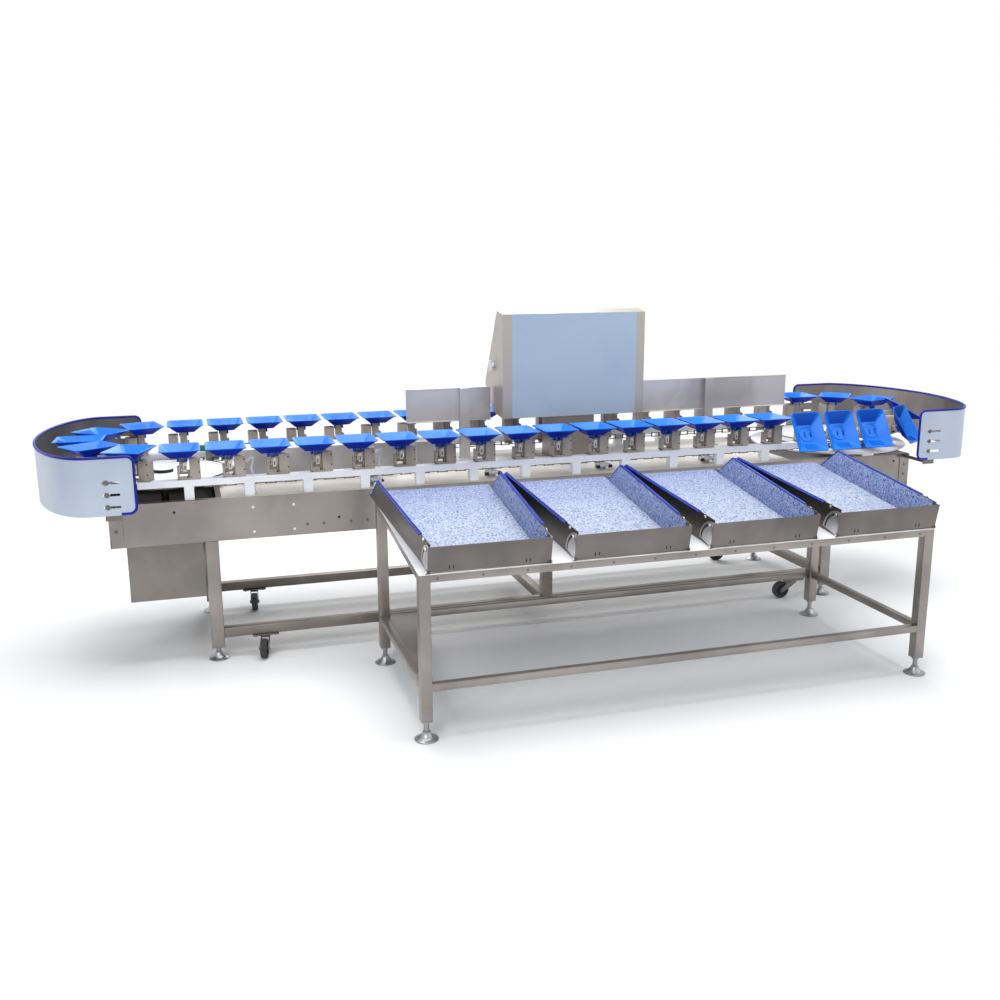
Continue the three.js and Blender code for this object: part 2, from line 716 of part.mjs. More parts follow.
// Tray: an eight-sided pan with flared walls on an arm; a loose one has a bored hub on the carrier's pin.
function tray(loose) {
  const y = -CHAIN_R - TRAY_N;
  const inner = TRAY_WALL * 2;
  const pan = rings([
    cutRing(PAN_FLOOR_W, PAN_FLOOR_L, PAN_FLOOR_CUT, 0, y, TRAY_LOW_Z),
    cutRing(TRAY_W, TRAY_L, TRAY_CUT, 0, y, TRAY_RIM_Z),
    cutRing(TRAY_W - inner, TRAY_L - inner, TRAY_CUT, 0, y, TRAY_RIM_Z),
    cutRing(PAN_FLOOR_W - inner, PAN_FLOOR_L - inner, PAN_FLOOR_CUT, 0, y, TRAY_LOW_Z + TRAY_WALL),
  ]);
  const armTop = TRAY_LOW_Z + TRAY_WALL / 2;
  const armLow = loose ? PIVOT_Z : LUG_TOP - BITE;
  const outline = outOutline([
    [PIVOT_N + ARM_HALF, armLow], [PIVOT_N - ARM_HALF, armLow], [PIVOT_N - ARM_HALF, armLow + ARM_RISE],
    [ARM_TOP_N[0], TRAY_LOW_Z - ARM_NECK], [ARM_TOP_N[0], armTop], [ARM_TOP_N[1], armTop],
  ]);
  const [s0, s1] = [LUG_LEFT_S[1] + ARM_SIDE_GAP, LUG_RIGHT_S[0] - ARM_SIDE_GAP];
  const arm = pushedX(outline, s0, s1);
  if (!loose) {
    return join([pan, arm]);
  }
  const hub = bar('x', HUB_R, s0, s1, -CHAIN_R - PIVOT_N, PIVOT_Z, ROUND_SIDES);
  const bore = bar('x', PIVOT_R + GAP, s0 - BITE, s1 + BITE, -CHAIN_R - PIVOT_N, PIVOT_Z, ROUND_SIDES);
  return join([pan, arm, hub], [bore]);
}

function tipped(geometry, angle) {
  const turned = geometry.clone();
  turned.translate(0, CHAIN_R + PIVOT_N, -PIVOT_Z);
  turned.rotateX(angle);
  turned.translate(0, -CHAIN_R - PIVOT_N, PIVOT_Z);
  return turned;
}

// Point of the loop at a way round it and a distance out from the chain line.
function loopPoint(way, n) {
  const { x, turn } = loopAt(way);
  const r = CHAIN_R + n;
  return [x + r * Math.sin(turn), LOOP_Y - r * Math.cos(turn)];
}

// Band that stands for the chain, between two ways round the loop.
function chainBand(from, to) {
  const half = HALF_TURN * CHAIN_R;
  const steps = BIG_ROUND_SIDES / 2;
  const ways = [from];
  for (const start of [0, 1, 2, 3].map((end) => end * (RUN + half) - half)) {
    for (let i = 0; i <= steps; i += 1) {
      const way = start + half * i / steps;
      if (way > from && way < to) {
        ways.push(way);
      }
    }
  }
  ways.push(to);
  const outside = ways.map((way) => loopPoint(way, CHAIN_T / 2));
  const inside = ways.map((way) => loopPoint(way, -CHAIN_T / 2)).reverse();
  return pushedZ([...outside, ...inside], CHAIN_LOW, CHAIN_HIGH);
}

// One stretch of the tray train: its band, carriers and the trays that stay on them.
function trayTrain(first, last) {
  const from = FIRST_TRAY + first * PITCH + CHAIN_SPLIT_S - PITCH;
  const to = FIRST_TRAY + last * PITCH + CHAIN_SPLIT_S - CHAIN_SPLIT_GAP;
  const parts = [chainBand(from, to)];
  const plain = carrier(false);
  const pinned = carrier(true);
  const upright = tray(false);
  for (let i = first; i <= last; i += 1) {
    const loose = OUTLET_TRAYS.includes(i) || TIPPED_TRAYS.includes(i);
    parts.push(placeOnLoop(loose ? pinned : plain, i));
    if (!loose) {
      parts.push(placeOnLoop(i === HALF_TIPPED_TRAY ? tipped(upright, HALF_TIP_ANGLE) : upright, i));
    }
  }
  return joinMany(parts);
}

// Wheel at either end: a rimmed disc with a hub, a cap on top and a shaft below.
function chainWheel(x, shaftLow) {
  const r = CHAIN_R - CHAIN_T / 2 - WHEEL_GAP;
  const profile = [
    [0, shaftLow], [SHAFT_R, shaftLow], [SHAFT_R, WHEEL_LOW], [r, WHEEL_LOW], [r, WHEEL_HIGH],
    [r - WHEEL_RIM, WHEEL_HIGH], [r - WHEEL_RIM, WHEEL_WEB_HIGH], [WHEEL_HUB_R, WHEEL_WEB_HIGH],
    [WHEEL_HUB_R, WHEEL_CAP_TOP], [0, WHEEL_CAP_TOP],
  ];
  return join([turned(profile, x, LOOP_Y, BIG_ROUND_SIDES)]);
}

// Round plate under the far end of the loop, on a bar across the beams, with a boss for the shaft.
function endDisc() {
  const x = FAR_X;
  const plate = bar('z', END_DISC_R, END_DISC_Z[0], END_DISC_Z[1], x, LOOP_Y, BIG_ROUND_SIDES);
  const boss = bar('z', END_BOSS_R, END_DISC_Z[1] - BITE, END_BOSS_TOP, x, LOOP_Y);
  const half = END_SEAT_W / 2;
  const seat = box(x - half, x + half, 0, FRAME_DEPTH, END_SEAT_Z, END_DISC_Z[0] + BITE);
  const bore = bar('z', SHAFT_R + BEARING_GAP, END_SEAT_Z - BITE, END_BOSS_TOP + BITE, x, LOOP_Y);
  return join([plate, boss, seat], [bore]);
}

// Ride rail on its row of blocks.
function rideRail(front) {
  const y = (n) => (front ? FRONT_CHAIN_Y - n : REAR_CHAIN_Y + n);
  const [y0, y1] = front ? [y(RIDE_OUT), y(RIDE_IN)] : [y(RIDE_IN), y(RIDE_OUT)];
  const parts = [box(RIDE_FROM, RIDE_TO, y0, y1, RIDE_TOP - RIDE_T, RIDE_TOP)];
  for (let i = 0; i < BLOCK_COUNT; i += 1) {
    const x = BLOCK_FIRST + i * BLOCK_PITCH;
    const onDeck = x > DECK_FROM;
    const low = onDeck ? FRAME_TOP + DECK_SHEET : FRAME_TOP;
    parts.push(box(x, x + BLOCK_W, y0, y1, low, RIDE_TOP - RIDE_T + BITE));
  }
  return join(parts, [webPath()]);
}

// Ring that the carriers' webs sweep at the drive end, cut out of the rails there.
function webPath() {
  const steps = BIG_ROUND_SIDES / 2;
  const arc = (radius) => Array.from({ length: steps + 1 }, (none, i) => {
    const a = HALF_TURN * i / steps;
    return [LOOP_X - radius * Math.sin(a), LOOP_Y + radius * Math.cos(a)];
  });
  const webs = Math.hypot(WEB_S[1], CHAIN_R + WEB_N[1]) + CLEAR;
  return pushedZ([...arc(webs), ...arc(WHEEL_HUB_R).reverse()], RIDE_TOP - RIDE_T - BITE, RIDE_TOP + BITE);
}

function driveBox() {
  const [x0, x1] = BOX_X;
  const [y0, y1] = BOX_Y;
  const [z0, z1] = BOX_Z;
  const outer = box(x0, x1, y0, y1, z0, z1);
  const inner = box(x0 + BOX_WALL, x1 - BOX_WALL, y0 + BOX_WALL, y1 - BOX_WALL, z0 + BOX_WALL, z1 + BITE);
  return join([outer], [inner]);
}

// Gear motor: gear case, boss with a blind bore for the shaft, motor drum and four feet.
function gearMotor() {
  const floor = BOX_Z[0] + BOX_WALL + GAP;
  const [x0, x1] = [LOOP_X - GEAR_W / 2, LOOP_X + GEAR_W / 2];
  const [y0, y1] = [LOOP_Y - GEAR_D / 2, LOOP_Y + GEAR_D / 2];
  const gears = box(x0, x1, y0, y1, floor + GEAR_FOOT, GEAR_TOP);
  const base = box(x0 - GEAR_FOOT, x1 + GEAR_FOOT, y0, y1, floor, floor + GEAR_FOOT + BITE);
  const boss = bar('z', GEAR_BOSS_R, GEAR_TOP - BITE, GEAR_BOSS_TOP, LOOP_X, LOOP_Y);
  const drum = bar('y', MOTOR_R, y0 - MOTOR_LENGTH, y0 + BITE, LOOP_X, MOTOR_Z);
  const bore = bar('z', SHAFT_R + BEARING_GAP, GEAR_BOSS_TOP - SHAFT_DEEP - GAP, GEAR_BOSS_TOP + BITE, LOOP_X, LOOP_Y);
  return join([gears, base, boss, drum], [bore]);
}

// Guard line in plan: straight flanks that run into a squared half round.
function guardLine(centreX, reach, flank, side, square, offset) {
  const points = [];
  const half = GUARD_HALF + offset;
  const far = reach + offset;
  points.push([centreX - side * flank, LOOP_Y - half]);
  for (let i = 0; i <= GUARD_STEPS; i += 1) {
    const a = HALF_TURN * (i / GUARD_STEPS - 1 / 2);
    const across = Math.sign(Math.sin(a)) * Math.abs(Math.sin(a)) ** (2 / square);
    const along = Math.max(0, Math.cos(a)) ** (2 / square);
    points.push([centreX + side * far * along, LOOP_Y + half * across]);
  }
  points.push([centreX - side * flank, LOOP_Y + half]);
  return points;
}

function guardBand(data, inner, outer, z0, z1) {
  const outside = guardLine(...data, outer);
  const inside = guardLine(...data, inner);
  return pushedZ([...outside, ...inside.reverse()], z0, z1);
}

// Guard: curved sheet with a rolled bead along its top and ends, slots, and two bracket bars.
function guard(left) {
  const side = left ? -1 : 1;
  const x = left ? GUARD_LEFT_X : GUARD_RIGHT_X;
  const reach = left ? GUARD_LEFT_REACH : GUARD_RIGHT_REACH;
  const flank = left ? GUARD_LEFT_FLANK : GUARD_RIGHT_FLANK;
  const top = left ? GUARD_LEFT_TOP : GUARD_RIGHT_TOP;
  const data = [x, reach, flank, side, left ? GUARD_SQUARE : GUARD_RIGHT_SQUARE];
  const end = x - side * flank;
  const more = (BEAD_W - GUARD_SHEET) / 2;
  const sheet = guardBand(data, 0, GUARD_SHEET, GUARD_LOW, top);
  const bead = guardBand(data, -more, GUARD_SHEET + more, top - BEAD_H / 2, top + BEAD_H / 2);
  const parts = [sheet, bead];
  const cuts = [];
  for (const row of [-1, 1]) {
    const faceY = LOOP_Y + row * GUARD_HALF;
    const outY = faceY + row * (GUARD_SHEET + more);
    const inY = faceY - row * more;
    const [y0, y1] = [Math.min(inY, outY), Math.max(inY, outY)];
    const [x0, x1] = [Math.min(end, end - side * BEAD_H), Math.max(end, end - side * BEAD_H)];
    parts.push(box(x0 - BITE, x1 + BITE, y0, y1, GUARD_LOW, top + BEAD_H / 2));
    for (let i = 0; i < SLOT_COUNT; i += 1) {
      const z = (left ? SLOT_LEFT_Z : SLOT_RIGHT_Z) + i * SLOT_STEP;
      const from = end + side * (left ? SLOT_LEFT_FROM : SLOT_RIGHT_FROM);
      const to = from + side * (left ? SLOT_LEFT_LENGTH : SLOT_RIGHT_LENGTH);
      cuts.push(box(Math.min(from, to), Math.max(from, to), y0 - SLOT_DEEP, y1 + SLOT_DEEP,
        z - SLOT_H / 2, z + SLOT_H / 2));
    }
    parts.push(guardBracket(left, end, row));
  }
  return join(parts, cuts);
}

// Flat bar from the frame's corner out to the lower edge of the guard.
function guardBracket(left, end, row) {
  const side = left ? -1 : 1;
  const faceY = LOOP_Y + row * GUARD_HALF;
  const frameY = row < 0 ? -SHEET - GAP : FRAME_DEPTH + SHEET + GAP;
  const x = left ? BRACKET_IN : FRAME_LENGTH - BRACKET_IN;
  const [y0, y1] = [Math.min(faceY, frameY), Math.max(faceY, frameY)];
  const arm = box(x - BRACKET_T / 2, x + BRACKET_T / 2, y0, y1, BRACKET_Z - BRACKET_H, BRACKET_Z);
  const padY = row < 0 ? [frameY - BRACKET_T, frameY] : [frameY, frameY + BRACKET_T];
  const pad = box(x - BRACKET_HALF, x + BRACKET_HALF, padY[0], padY[1], BRACKET_Z - BRACKET_H, BRACKET_Z);
  const tipY = row < 0 ? [faceY - GUARD_SHEET, faceY + BRACKET_T] : [faceY - BRACKET_T, faceY + GUARD_SHEET];
  const tip = box(x - BRACKET_HALF, x + BRACKET_HALF, tipY[0], tipY[1], BRACKET_Z - BRACKET_H, GUARD_LOW + BRACKET_TIP);
  return join([arm, pad, tip]);
}

// Frame of the cabinet's sloping face: down runs along it, out points away from it.
const faceTop = CAB_SIDE[3];
const faceLow = CAB_SIDE[2];
const faceLength = Math.hypot(faceLow[0] - faceTop[0], faceLow[1] - faceTop[1]);
const faceDown = [(faceLow[0] - faceTop[0]) / faceLength, (faceLow[1] - faceTop[1]) / faceLength];
const faceOut = [-faceDown[1], faceDown[0]];
const screenDown = faceLength * SCREEN_DOWN_SHARE;
const screenHalf = faceLength * SCREEN_H_SHARE / 2;
const buttonDown = faceLength * BUTTON_DOWN_SHARE;

function onFace(down, out) {
  return [faceTop[0] + faceDown[0] * down + faceOut[0] * out,
    faceTop[1] + faceDown[1] * down + faceOut[1] * out];
}

function faceSlab(x0, x1, d0, d1, o0, o1) {
  return pushedX([onFace(d0, o0), onFace(d1, o0), onFace(d1, o1), onFace(d0, o1)], x0, x1);
}

function faceBar(radius, x, down, o0, o1) {
  const geometry = new THREE.CylinderGeometry(radius, radius, o1 - o0, ROUND_SIDES);
  const [y, z] = onFace(down, (o0 + o1) / 2);
  geometry.rotateX(Math.atan2(faceOut[1], faceOut[0]));
  geometry.translate(x, y, z);
  return geometry;
}

// Cabinet shell: folded body with an open sloping face behind the door.
function cabinetShell() {
  const [x0, x1] = CAB_X;
  const body = pushedX(CAB_SIDE, x0, x1);
  const inside = insetOutline(CAB_SIDE, CAB_WALL);
  const hollow = pushedX(inside, x0 + CAB_WALL, x1 - CAB_WALL);
  const mouth = faceSlab(x0 + CAB_LIP, x1 - CAB_LIP, CAB_LIP, faceLength - CAB_LIP, -CAB_LIP, CAB_LIP);
  const latchHole = bar('x', STEM_R + BEARING_GAP, x0 - BITE, x0 + 2 * CAB_WALL, LATCH_Y, LATCH_Z, BOLT_SIDES);
  return join([body], [hollow, mouth, latchHole]);
}

// The same outline drawn in by an even wall.
function insetOutline(outline, wall) {
  const count = outline.length;
  const lines = outline.map(([y, z], i) => {
    const [ny, nz] = outline[(i + 1) % count];
    const length = Math.hypot(ny - y, nz - z);
    const inward = [-(nz - z) / length, (ny - y) / length];
    return { at: [y + inward[0] * wall, z + inward[1] * wall], dir: [(ny - y) / length, (nz - z) / length] };
  });
  return lines.map((line, i) => {
    const before = lines[(i + count - 1) % count];
    const cross = before.dir[0] * line.dir[1] - before.dir[1] * line.dir[0];
    const dy = line.at[0] - before.at[0];
    const dz = line.at[1] - before.at[1];
    const t = (dy * line.dir[1] - dz * line.dir[0]) / cross;
    return [before.at[0] + before.dir[0] * t, before.at[1] + before.dir[1] * t];
  });
}

// Door with the holes for its buttons, and a hinge roll along one edge.
function cabinetDoor() {
  const [x0, x1] = [CAB_X[0] + DOOR_EDGE, CAB_X[1] - DOOR_EDGE];
  const plate = faceSlab(x0, x1, DOOR_EDGE, faceLength - DOOR_EDGE, GAP, GAP + DOOR_T);
  const roll = doorRoll(x0);
  const holes = buttonPlaces().map(([x, down]) => faceBar(STEM_R + GAP, x, down, -STEM_IN, STEM_IN));
  return join([plate, roll], holes);
}

function doorRoll(x) {
  const length = faceLength - 4 * DOOR_EDGE;
  const geometry = new THREE.CylinderGeometry(DOOR_HINGE_R, DOOR_HINGE_R, length, BOLT_SIDES);
  geometry.rotateX(Math.atan2(faceDown[1], faceDown[0]));
  const [y, z] = onFace(faceLength / 2, GAP * 3 / 2 + DOOR_HINGE_R);
  geometry.translate(x, y, z);
  return geometry;
}

function buttonPlaces() {
  const middle = (CAB_X[0] + CAB_X[1]) / 2;
  return [[middle - BUTTON_STEP, buttonDown], [middle, buttonDown], [middle + BUTTON_STEP, buttonDown]];
}

function pushButton(place, headR, headOut) {
  const face = GAP + DOOR_T;
  const clear = headOut / 2;
  const head = faceBar(headR, place[0], place[1], face + clear, face + clear + headOut);
  const stem = faceBar(STEM_R, place[0], place[1], -STEM_IN, face + clear + BITE);
  return join([head, stem]);
}

function touchScreen() {
  const middle = (CAB_X[0] + CAB_X[1]) / 2;
  const face = GAP + DOOR_T + GAP / 2;
  return join([faceSlab(middle - SCREEN_W / 2, middle + SCREEN_W / 2, screenDown - screenHalf,
    screenDown + screenHalf, face, face + SCREEN_T)]);
}

// Quarter-turn latch on the cabinet's side.
function cabinetLatch() {
  const x = CAB_X[0] - GAP;
  const knob = bar('x', LATCH_R, x - LATCH_T, x, LATCH_Y, LATCH_Z);
  const stem = bar('x', STEM_R, x - BITE, x + 3 * CAB_WALL, LATCH_Y, LATCH_Z, BOLT_SIDES);
  const half = LATCH_HANDLE_W / 2;
  const handle = box(x - 2 * LATCH_T, x - LATCH_T + BITE, LATCH_Y - half, LATCH_Y + half,
    LATCH_Z - LATCH_HANDLE / 2, LATCH_Z + LATCH_HANDLE / 2);
  return join([knob, stem, handle]);
}

function pedestal() {
  const low = FRAME_TOP + DECK_SHEET + GAP / 2;
  const [x0, x1] = PEDESTAL_X;
  const [y0, y1] = PEDESTAL_Y;
  const edge = PEDESTAL_FLANGE;
  const rise = (CAB_KNEE_Z - CAB_BACK_Z[0]) / (CAB_KNEE_Y - CAB_BACK_Y);
  const high = (y) => CAB_BACK_Z[0] + rise * (y - CAB_BACK_Y) - GAP;
  const column = pushedX([[y0, low], [y1, low], [y1, high(y1)], [y0, high(y0)]], x0, x1);
  const base = box(x0 - edge, x1 + edge, y0 - edge, y1 + edge, low, low + POST_FOOT_T);
  const wall = COVER_SHEET;
  const inside = box(x0 + wall, x1 - wall, y0 + wall, y1 - wall, low - BITE, high(y1) + BITE);
  return join([column, base], [inside]);
}

// Rear screen: a sheet with folded edges behind one post.
function rearPanel(span, postX) {
  const low = FRAME_TOP + DECK_SHEET + GAP / 2;
  const [z0, z1] = PANEL_Z;
  const back = SCREEN_Y + PANEL_SHEET;
  const fold = SCREEN_Y - PANEL_FOLD;
  const outline = [
    [fold, z0], [back, z0], [back, z1], [fold, z1], [fold, z1 - PANEL_SHEET], [SCREEN_Y, z1 - PANEL_SHEET],
    [SCREEN_Y, z0 + PANEL_SHEET], [fold, z0 + PANEL_SHEET],
  ];
  const sheet = pushedX(outline, span[0], span[1]);
  const front = SCREEN_Y - POST_W / 2;
  const post = box(postX, postX + POST_W, front, back - PANEL_SHEET / 2, low, z1 - POST_DROP);
  const edge = (POST_FOOT - POST_W) / 2;
  const base = box(postX - edge, postX + POST_W + edge, front - edge, back + edge, low, low + POST_FOOT_T);
  return join([sheet, post, base]);
}

function mainCover() {
  const low = FRAME_TOP + DECK_SHEET + GAP / 2;
  const [y0, y1] = COVER_Y;
  const outline = [[y0, low], [y1, low], [y1, COVER_TOP - COVER_EAVE], [y1 - COVER_EAVE, COVER_TOP],
    [y0, COVER_TOP]];
  const inside = insetOutline(outline, COVER_SHEET).map(([y, z]) => [y, z < low + COVER_EAVE ? low - BITE : z]);
  const [x0, x1] = COVER_X;
  return join([pushedX(outline, x0, x1)], [pushedX(inside, x0 + COVER_SHEET, x1 - COVER_SHEET)]);
}

function smallCover() {
  const low = FRAME_TOP + DECK_SHEET + GAP / 2;
  const [x0, x1] = SMALL_COVER_X;
  const [y0, y1] = SMALL_COVER_Y;
  const wall = COVER_SHEET;
  const inside = box(x0 + wall, x1 - wall, y0 + wall, y1 - wall, low - BITE, SMALL_COVER_TOP - wall);
  return join([box(x0, x1, y0, y1, low, SMALL_COVER_TOP)], [inside]);
}

function weighUnit() {
  const low = FRAME_TOP + DECK_SHEET + GAP / 2;
  const base = box(...WEIGH_X, ...WEIGH_Y, low, WEIGH_TOP);
  const cell = box(...WEIGH_CELL_X, ...WEIGH_CELL_Y, WEIGH_TOP - BITE, WEIGH_CELL_TOP);
  return join([base, cell]);
}

// Tripper: a lever that leans at the carriers, on a small base between two ears.
function tripperBase(x) {
  const low = FRAME_TOP + DECK_SHEET - BITE;
  const half = TRIPPER_BASE_W / 2;
  const inner = TRIPPER_W / 2 + GAP;
  const base = box(x - half, x + half, ...TRIPPER_BASE_Y, low, TRIPPER_BASE_TOP);
  const middleY = (TRIPPER_Y[0] + TRIPPER_Y[1]) / 2;
  const pin = bar('x', TRIPPER_PIN_R, x - inner - TRIPPER_EAR, x + inner + TRIPPER_EAR, middleY, TRIPPER_PIVOT_Z,
    BOLT_SIDES);
  const ears = [[-inner - TRIPPER_EAR, -inner], [inner, inner + TRIPPER_EAR]].map(
    ([a, b]) => box(x + a, x + b, ...TRIPPER_Y, TRIPPER_BASE_TOP - BITE, TRIPPER_PIVOT_Z + TRIPPER_EAR));
  return [base, pin, ...ears];
}

function tripperLever(x) {
  const half = TRIPPER_W / 2;
  const middleY = (TRIPPER_Y[0] + TRIPPER_Y[1]) / 2;
  const thin = (TRIPPER_Y[1] - TRIPPER_Y[0]) / 2;
  const hub = bar('x', thin, x - half, x + half, middleY, TRIPPER_PIVOT_Z);
  const lever = box(x - half, x + half, middleY - thin / 2, middleY + thin / 2, TRIPPER_PIVOT_Z, TRIPPER_TOP);
  const bore = bar('x', TRIPPER_PIN_R + GAP, x - TRIPPER_W, x + TRIPPER_W, middleY, TRIPPER_PIVOT_Z);
  return join([hub, lever], [bore]);
}

function deckWithBases() {
  return join([deck(), ...TRIPPER_X.flatMap(tripperBase)]);
}

// Height of the bench's sloping top at a depth y.
function benchZ(y) {
  return BENCH_TOP + SLOPE * (y - BENCH_Y);
}

// Bench frame: legs with feet, sloping side rails, top rails and low rails, with a narrow ledge.
function benchFrame() {
  const parts = [];
  const [x0, x1] = [BENCH_X, BENCH_X + BENCH_W];
  const [y0, y1] = [BENCH_Y, BENCH_Y + BENCH_D];
  const legX = [x0, x1 - BENCH_LEG];
  for (const x of legX) {
    for (const y of [y0, y1 - BENCH_LEG]) {
      const outline = [[y, BENCH_LEG_Z], [y + BENCH_LEG, BENCH_LEG_Z],
        [y + BENCH_LEG, benchZ(y + BENCH_LEG) - BITE], [y, benchZ(y) - BITE]];
      parts.push(pushedX(outline, x, x + BENCH_LEG));
      parts.push(foot(x + BENCH_LEG / 2, y + BENCH_LEG / 2, BENCH_LEG_Z));
    }
  }
  const [yf, yb] = [y0 + BENCH_STEP, y1 - BENCH_STEP];
  const sideTop = [[yf, benchZ(yf) - BENCH_TUBE], [yb, benchZ(yb) - BENCH_TUBE], [yb, benchZ(yb)], [yf, benchZ(yf)]];
  for (const x of [x0 + BENCH_STEP, x1 - BENCH_STEP - BENCH_TUBE]) {
    parts.push(pushedX(sideTop, x, x + BENCH_TUBE));
    parts.push(box(x, x + BENCH_TUBE, yf + BENCH_TUBE / 2, yb - BENCH_TUBE / 2, ...BENCH_LOW_Z));
  }
  const [xa, xb] = [x0 + BENCH_STEP + BENCH_TUBE / 2, x1 - BENCH_STEP - BENCH_TUBE / 2];
  for (const y of [yf, yb - BENCH_TUBE]) {
    const rail = [[y, benchZ(y) - BENCH_TUBE], [y + BENCH_TUBE, benchZ(y + BENCH_TUBE) - BENCH_TUBE],
      [y + BENCH_TUBE, benchZ(y + BENCH_TUBE)], [y, benchZ(y)]];
    parts.push(pushedX(rail, xa, xb));
    parts.push(box(xa, xb, y, y + BENCH_TUBE, ...BENCH_LOW_Z));
  }
  const ledgeX = xa + BENCH_TUBE / 2;
  const ledgeY = [yf + BENCH_TUBE / 2, yb - BENCH_TUBE / 2];
  const ledge = [[xa, ledgeY[0]], [ledgeX + LEDGE_FRONT_W, ledgeY[0]], [ledgeX + LEDGE_W, ledgeY[1]], [xa, ledgeY[1]]];
  parts.push(pushedZ(ledge, BENCH_LOW_Z[1] - LEDGE_T - BITE, BENCH_LOW_Z[1] - BITE));
  return join(parts);
}

function benchSheet() {
  const [y0, y1] = [BENCH_Y, BENCH_Y + BENCH_D];
  const outline = [[y0, benchZ(y0) + GAP / 2], [y1, benchZ(y1) + GAP / 2],
    [y1, benchZ(y1) + BENCH_SHEET], [y0, benchZ(y0) + BENCH_SHEET]];
  return join([pushedX(outline, BENCH_X, BENCH_X + BENCH_W)]);
}

// Chute frame: u runs down the slope from the back lip, v runs up from the bench sheet.
const slopeAngle = Math.atan(SLOPE);
const chuteLength = (CHUTE_BACK_Y - CHUTE_FRONT_Y) / Math.cos(slopeAngle);

function fromSlope(geometry, x) {
  const placed = geometry.clone();
  placed.rotateX(slopeAngle);
  placed.translate(x, CHUTE_BACK_Y, benchZ(CHUTE_BACK_Y) + BENCH_SHEET + GAP / 2);
  return placed;
}

// Half width of the chute at a distance u down the slope.
function chuteHalf(u) {
  const along = u / chuteLength;
  return (CHUTE_BACK_W + (CHUTE_FRONT_W - CHUTE_BACK_W) * along) / 2;
}

// Chute: a tapering floor and two slanting walls, with the pins and bolts of its gate.
function chute(x) {
  const [b, f] = [chuteHalf(0), chuteHalf(chuteLength)];
  const floor = pushedZ([[-f, -chuteLength], [f, -chuteLength], [b, 0], [b, CHUTE_LIP], [-b, CHUTE_LIP],
    [-b, 0]], 0, CHUTE_SHEET);
  const parts = [floor];
  for (const side of [-1, 1]) {
    parts.push(chuteWall(side));
    const pin = [-chuteLength, GATE_PIN_UP];
    const bolt = [pin[0] + GATE_SLOT_R * Math.cos(GATE_BOLT_AT), pin[1] + GATE_SLOT_R * Math.sin(GATE_BOLT_AT)];
    parts.push(sideBar(side, GATE_BOSS_R, f - CHUTE_SHEET, gateHalf() - GAP, pin));
    parts.push(sideBar(side, GATE_PIN_R, f, f + GATE_BOLT_OUT, pin));
    parts.push(sideBar(side, GATE_BOLT_R, f - CHUTE_SHEET, f + GATE_BOLT_OUT, bolt));
  }
  return fromSlope(join(parts), x);
}

// Round bar across one side of the chute, between two distances from its middle line.
function sideBar(side, radius, from, to, [u, v]) {
  const [x0, x1] = side > 0 ? [from, to] : [-to, -from];
  return bar('x', radius, x0, x1, u, v, BOLT_SIDES);
}

function chuteWall(side) {
  const outline = [[0, 0], [-CHUTE_PEAK, CHUTE_WALL_H], [-chuteLength, CHUTE_WALL_H], [-chuteLength, 0]];
  const wall = pushedX(outline, -CHUTE_SHEET, 0);
  const place = wall.attributes.position;
  for (let i = 0; i < place.count; i += 1) {
    const out = place.getX(i) + chuteHalf(-place.getY(i));
    place.setX(i, side * out);
  }
  return wall;
}

// Half width between the gate's ears, which clear the widening walls behind the hinge.
function gateHalf() {
  return chuteHalf(chuteLength - GATE_EAR_R) + GAP;
}

// Gate frame: the pin line is the origin, p runs back from it, q runs up.
function gate(x) {
  const half = gateHalf();
  const lip = chuteHalf(chuteLength) - GATE_LIP_IN;
  const [p0, p1] = [-GATE_FRONT - GATE_SHEET, -GATE_FRONT];
  const edge = half + GATE_SHEET + GATE_EDGE;
  const plate = box(-edge, edge, p0, p1, 0, GATE_H);
  const parts = [plate, box(-lip, lip, p0, p1, -GATE_LIP, BITE)];
  const cuts = [];
  for (const side of [-1, 1]) {
    const [x0, x1] = side > 0 ? [half, half + GATE_SHEET] : [-half - GATE_SHEET, -half];
    parts.push(pushedX(gateEar((p0 + p1) / 2), x0, x1));
    cuts.push(pushedX(gateSlot(), x0 - BITE, x1 + BITE));
    cuts.push(sideBar(side, GATE_PIN_R + GAP, half - BITE, half + GATE_SHEET + BITE, [0, 0]));
    cuts.push(sideBar(side, GATE_BOSS_R + CLEAR, chuteHalf(chuteLength) - 2 * CHUTE_SHEET, half, [0, 0]));
  }
  const geometry = join(parts, cuts);
  geometry.rotateX(GATE_LEAN);
  geometry.translate(0, -chuteLength, GATE_PIN_UP);
  return fromSlope(geometry, x);
}

function arcPoints(radius, from, to, steps) {
  return Array.from({ length: steps + 1 }, (none, i) => {
    const a = from + (to - from) * i / steps;
    return [radius * Math.cos(a), radius * Math.sin(a)];
  });
}

function gateEar(front) {
  const arc = arcPoints(GATE_EAR_R, GATE_EAR_FROM, HALF_TURN / 2, GATE_STEPS);
  return [[front, -GATE_EAR_LOW], ...arc, [front, GATE_EAR_R]];
}

function gateSlot() {
  const outer = arcPoints(GATE_SLOT_R + GATE_SLOT_HALF, GATE_SLOT_FROM, GATE_SLOT_TO, GATE_STEPS);
  const inner = arcPoints(GATE_SLOT_R - GATE_SLOT_HALF, GATE_SLOT_FROM, GATE_SLOT_TO, GATE_STEPS);
  return [...outer, ...inner.reverse()];
}

